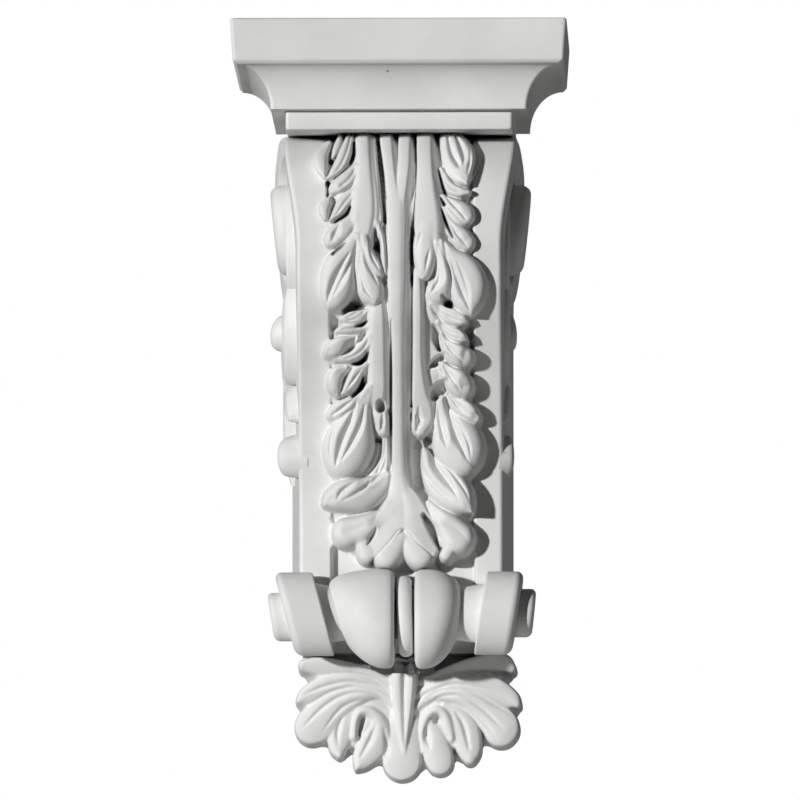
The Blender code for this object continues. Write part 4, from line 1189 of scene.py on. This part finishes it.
# Each leaf's path, then its flutes.
SPRAY = (
    (((60, 18, 5, 7), (84, 26, 10, 9), (100, 44, 14, 9.5), (109, 66, 10, 8.5), (112, 80, 2, 5)),
     ((0.1, 1.6),)),
    (((52, 16, 5, 8), (66, 22, 9, 10), (75, 36, 12, 10.5), (76, 50, 7, 9), (74, 57, 1.5, 5)),
     ((-0.1, 1.6),)),
    (((46, 2, 5, 6), (62, 5, 10, 8), (78, 0, 11, 8.5), (87, -8, 6, 6.5), (90, -12, 1, 4)),
     ((0.0, 1.4),)),
    (((38, -18, 5, 6), (31, -4, 9, 8), (29, 14, 11, 9), (31, 32, 8, 8), (34, 43, 1.5, 5)),
     ((0.0, 1.5),)),
    (((36, -34, 5, 6), (46, -28, 9, 8), (56, -30, 10, 9), (63, -36, 6, 7), (66, -40, 1, 4)),
     ((0.0, 1.4),)),
    (((28, -50, 4, 5), (38, -30, 6, 9), (54, 5, 7.5, 9.5), (70, 32, 6, 8), (84, 52, 3, 6)), ()),
    (((88, 57, 4, 9), (97, 53, 7.5, 15), (100, 46, 7.5, 17.5), (95, 40, 5.5, 16), (89, 42, 3, 11)),
     ((0.0, 1.2),)),
    (((66, -24, 4, 7), (74, -29, 7, 12), (76, -37, 7.5, 13), (71, -43, 6, 11), (65, -40, 3, 8)),
     ((0.0, 1.0),)),
)
SIDES = [swept(path, place, flutes) for path, flutes in SPRAY for place in (left_side, right_side)]
print("side relief", len(SIDES), "pieces")

# %% [markdown]
# ## Chips
#
# The real one has a tiny chip in the cove, with a smaller one beside it, and another at the fascia's right
# corner. A bump in the material would hardly show at that size. Each is an uneven ball set on the surface,
# and the Boolean below takes it away.

# %% Chips
def chip(x, out, z, size):
    """A ball of six rings centred on the surface, its radius times 1 + 0.25 sin(3 a + 5 up) round each."""
    turn = np.linspace(0, 2 * np.pi, 12, endpoint=False)
    rings = []
    for up in (-0.95, -0.7, -0.3, 0.2, 0.65, 0.95):
        across = size * np.sqrt(1 - up * up) * (1 + 0.25 * np.sin(3 * turn + 5 * up))
        rings.append(np.stack([x + 1.2 * across * np.cos(turn), -out + across * np.sin(turn),
                               z + size * up + 0 * turn], -1))
    return closed_loft(rings)


CHIPS = [chip(-7.0, 180.4, 219.0, 1.2), chip(-5.2, 180.0, 217.8, 0.9), chip(112.2, 197.2, 249.6, 0.8)]
print("chips", len(CHIPS))

# %% [markdown]
# ## Join and cut
#
# The real one is one casting, so its mesh is one closed surface too. Skins that only overlap would show in
# a section and leave hidden faces inside. A Boolean union joins them, with the plain stock that fills the
# body's top and the space behind the shell, and a Boolean difference cuts the back flat at the wall. The
# MANIFOLD solver is the one that keeps such dense skins closed, and it needs each of them to face outward.

# %% Solids and Booleans
def solid(name, points, faces):
    """A skin as an object, its faces turned round where its signed volume is negative."""
    shape = bmesh.new()
    mesh = bpy.data.meshes.new(name)
    mesh.from_pydata((points * MM).tolist(), [], faces)
    shape.from_mesh(mesh)
    bmesh.ops.triangulate(shape, faces=shape.faces[:])
    if shape.calc_volume(signed=True) < 0:
        bmesh.ops.reverse_faces(shape, faces=shape.faces[:])
    shape.to_mesh(mesh)
    shape.free()
    made = bpy.data.objects.new(name, mesh)
    bpy.context.scene.collection.objects.link(made)
    return made


def combine(first, others, operation):
    """The mesh of `first` joined with, or less, all the others, which are then removed."""
    group = bpy.data.collections.new("others")
    bpy.context.scene.collection.children.link(group)
    for other in others:
        bpy.context.scene.collection.objects.unlink(other)
        group.objects.link(other)
    step = first.modifiers.new("combine", "BOOLEAN")
    step.operation = operation
    step.solver = "MANIFOLD"
    step.operand_type = "COLLECTION"
    step.collection = group
    mesh = bpy.data.meshes.new_from_object(first.evaluated_get(bpy.context.evaluated_depsgraph_get()))
    for other in (first, *others):
        bpy.data.objects.remove(other, do_unlink=True)
    bpy.data.collections.remove(group)
    return mesh


print("solver: MANIFOLD")

# %% Join
# Plain stock: under the cap, behind the shell and behind the bells.
STOCK = (
    box(-79, 79, -8, 103, 170, 183),
    box(-64, 64, -8, 9, -186, -150),
    box(-22, 22, -8, 26, -190, -150),
)
BEHIND_WALL = box(-300, 300, -60, 0, -400, 400)

pieces = [BODY, CAP, SHELL_SOLID, *STOCK, *ROLL, *SCROLLS, *SIDES]
solids = [solid(f"piece_{number:02d}", *piece) for number, piece in enumerate(pieces)]
whole = bpy.data.objects.new("whole", combine(solids[0], solids[1:], "UNION"))
bpy.context.scene.collection.objects.link(whole)
cutters = [solid("behind", *BEHIND_WALL)]
cutters += [solid(f"chip_{number}", *piece) for number, piece in enumerate(CHIPS)]
casting = combine(whole, cutters, "DIFFERENCE")
print("casting", len(casting.polygons), "faces")

# %% [markdown]
# ## Thin and shade
#
# The grid is as fine on the plain margins as on the leaves. Decimate takes triangles away where the surface
# is plain, so the leaves keep theirs. Smooth shading with sharp edges past an angle gives the moulding its
# crisp edges. On the carving it would break the soft creases into facets, so no edge there stays sharp.
# Weighted normals then keep the large flat faces flat.

# %% Thin it where it is plain
MOST_TRIANGLES = 192000
corbel = bpy.data.objects.new("corbel_casting", casting)
bpy.context.scene.collection.objects.link(corbel)
thin = corbel.modifiers.new("thin", "DECIMATE")
casting.calc_loop_triangles()
thin.ratio = min(1.0, MOST_TRIANGLES / len(casting.loop_triangles))
casting = bpy.data.meshes.new_from_object(corbel.evaluated_get(bpy.context.evaluated_depsgraph_get()))
corbel.modifiers.clear()
corbel.data = casting
casting.name = "corbel_casting"
print("thinned to", len(casting.polygons), "faces")

# %% Smooth shading with sharp edges off the carving
SHARP_ANGLE = np.radians(42)
CARVED_HALF, CARVED_FOOT, CARVED_TOP, CARVED_OUT = 62, -112, 181.3, 45
PETALS_TOP, PETALS_OUT = -176, 1

casting.polygons.foreach_set("use_smooth", [True] * len(casting.polygons))
casting.set_sharp_from_angle(angle=SHARP_ANGLE)
ends = np.zeros(2 * len(casting.edges), int)
casting.edges.foreach_get("vertices", ends)
where = np.zeros(3 * len(casting.vertices))
casting.vertices.foreach_get("co", where)
middle = where.reshape(-1, 3)[ends.reshape(-1, 2)].mean(1) / MM
sharp = np.zeros(len(casting.edges), bool)
casting.attributes["sharp_edge"].data.foreach_get("value", sharp)
across, outs, up = middle[:, 0], -middle[:, 1], middle[:, 2]
carving = (np.abs(across) < CARVED_HALF) & (up < CARVED_TOP) & (up > CARVED_FOOT) & (outs > CARVED_OUT)
carving |= (up < PETALS_TOP) & (outs > PETALS_OUT)
sharp &= ~carving
casting.attributes["sharp_edge"].data.foreach_set("value", sharp)
weigh = corbel.modifiers.new("weigh", "WEIGHTED_NORMAL")
weigh.mode, weigh.weight, weigh.keep_sharp = "FACE_AREA", 50, True
casting = bpy.data.meshes.new_from_object(corbel.evaluated_get(bpy.context.evaluated_depsgraph_get()))
corbel.modifiers.clear()
corbel.data = casting
print("sharp edges", int(sharp.sum()))

# %% [markdown]
# ## Primer
#
# The real one is sprayed with a matt white primer. Close up it has a fine orange peel, it is a little
# cloudy and a few specks sit in it. The deepest creases are darkened with painted shade. A single white
# would look like plaster in a drawing. The clouding and the specks are noise on Object coordinates, which
# stay with the piece. The painted shade follows an Ambient Occlusion node, which is dark where the surface
# is closed in.

# %% Primed white
# The last colour is painted shade, a dark grey laid into the deepest creases.
WHITE_LOW, WHITE_HIGH, SPECK, CREASE_SHADE = map(colour, ("dadad9", "e3e3e2", "b9b7b2", "302f2d"))

primer = bpy.data.materials.new("primed_white")
primer.use_nodes = True
tree = primer.node_tree
link = tree.links.new
shader = tree.nodes["Principled BSDF"]
place = add(tree, "ShaderNodeTexCoord", -1500, 0)
cloud = add(tree, "ShaderNodeTexNoise", -1200, 300, Scale=22.0, Detail=5.0, Roughness=0.55)
speck = add(tree, "ShaderNodeTexNoise", -1200, 0, Scale=620.0, Detail=2.0, Roughness=0.6)
ramp = add(tree, "ShaderNodeValToRGB", -900, 300)
ramp.color_ramp.elements[0].position, ramp.color_ramp.elements[1].position = 0.35, 0.68
ramp.color_ramp.elements[0].color, ramp.color_ramp.elements[1].color = WHITE_LOW, WHITE_HIGH
dots = add(tree, "ShaderNodeMapRange", -900, 0, From_Min=0.66, From_Max=0.74, To_Min=0.0, To_Max=0.12)
spotted = add(tree, "ShaderNodeMix", -600, 200)
spotted.data_type = "RGBA"
spotted.inputs["B"].default_value = SPECK
# Painted shade: where the Ambient Occlusion node finds the surface closed in, the white is mixed toward the
# dark grey.
crevice = add(tree, "ShaderNodeAmbientOcclusion", -900, -300, Distance=0.012)
shade_amount = add(tree, "ShaderNodeMapRange", -600, -300, From_Min=0.03, From_Max=0.22, To_Min=0.9, To_Max=0.0)
crease_shaded = add(tree, "ShaderNodeMix", -300, 100)
crease_shaded.data_type = "RGBA"
crease_shaded.inputs["B"].default_value = CREASE_SHADE
for target in (cloud, speck):
    link(place.outputs["Object"], target.inputs["Vector"])
link(cloud.outputs["Fac"], ramp.inputs["Fac"])
link(speck.outputs["Fac"], dots.inputs["Value"])
link(dots.outputs["Result"], spotted.inputs["Factor"])
link(ramp.outputs["Color"], spotted.inputs["A"])
link(crevice.outputs["AO"], shade_amount.inputs["Value"])
link(shade_amount.outputs["Result"], crease_shaded.inputs["Factor"])
link(spotted.outputs["Result"], crease_shaded.inputs["A"])
link(crease_shaded.outputs["Result"], shader.inputs["Base Color"])
print("primer from", [round(c, 3) for c in WHITE_LOW], "to", [round(c, 3) for c in WHITE_HIGH])

# %% Primer's surface
peel = add(tree, "ShaderNodeTexNoise", -1200, -600, Scale=900.0, Detail=3.0, Roughness=0.5)
sag = add(tree, "ShaderNodeTexNoise", -1200, -850, Scale=60.0, Detail=3.0, Roughness=0.5)
fine = add(tree, "ShaderNodeBump", -600, -600, Strength=0.18, Distance=0.00012)
broad = add(tree, "ShaderNodeBump", -300, -600, Strength=0.35, Distance=0.0005)
gloss = add(tree, "ShaderNodeMapRange", -600, -900, From_Min=0.3, From_Max=0.7, To_Min=0.5, To_Max=0.64)
for target in (peel, sag):
    link(place.outputs["Object"], target.inputs["Vector"])
link(peel.outputs["Fac"], fine.inputs["Height"])
link(sag.outputs["Fac"], broad.inputs["Height"])
link(fine.outputs["Normal"], broad.inputs["Normal"])
link(broad.outputs["Normal"], shader.inputs["Normal"])
link(sag.outputs["Fac"], gloss.inputs["Value"])
link(gloss.outputs["Result"], shader.inputs["Roughness"])
shader.inputs["Specular IOR Level"].default_value = 0.3
casting.materials.clear()
casting.materials.append(primer)
print("primer nodes", len(tree.nodes))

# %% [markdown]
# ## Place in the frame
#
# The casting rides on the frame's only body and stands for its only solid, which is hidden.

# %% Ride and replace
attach(corbel, "root")
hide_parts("corbel")
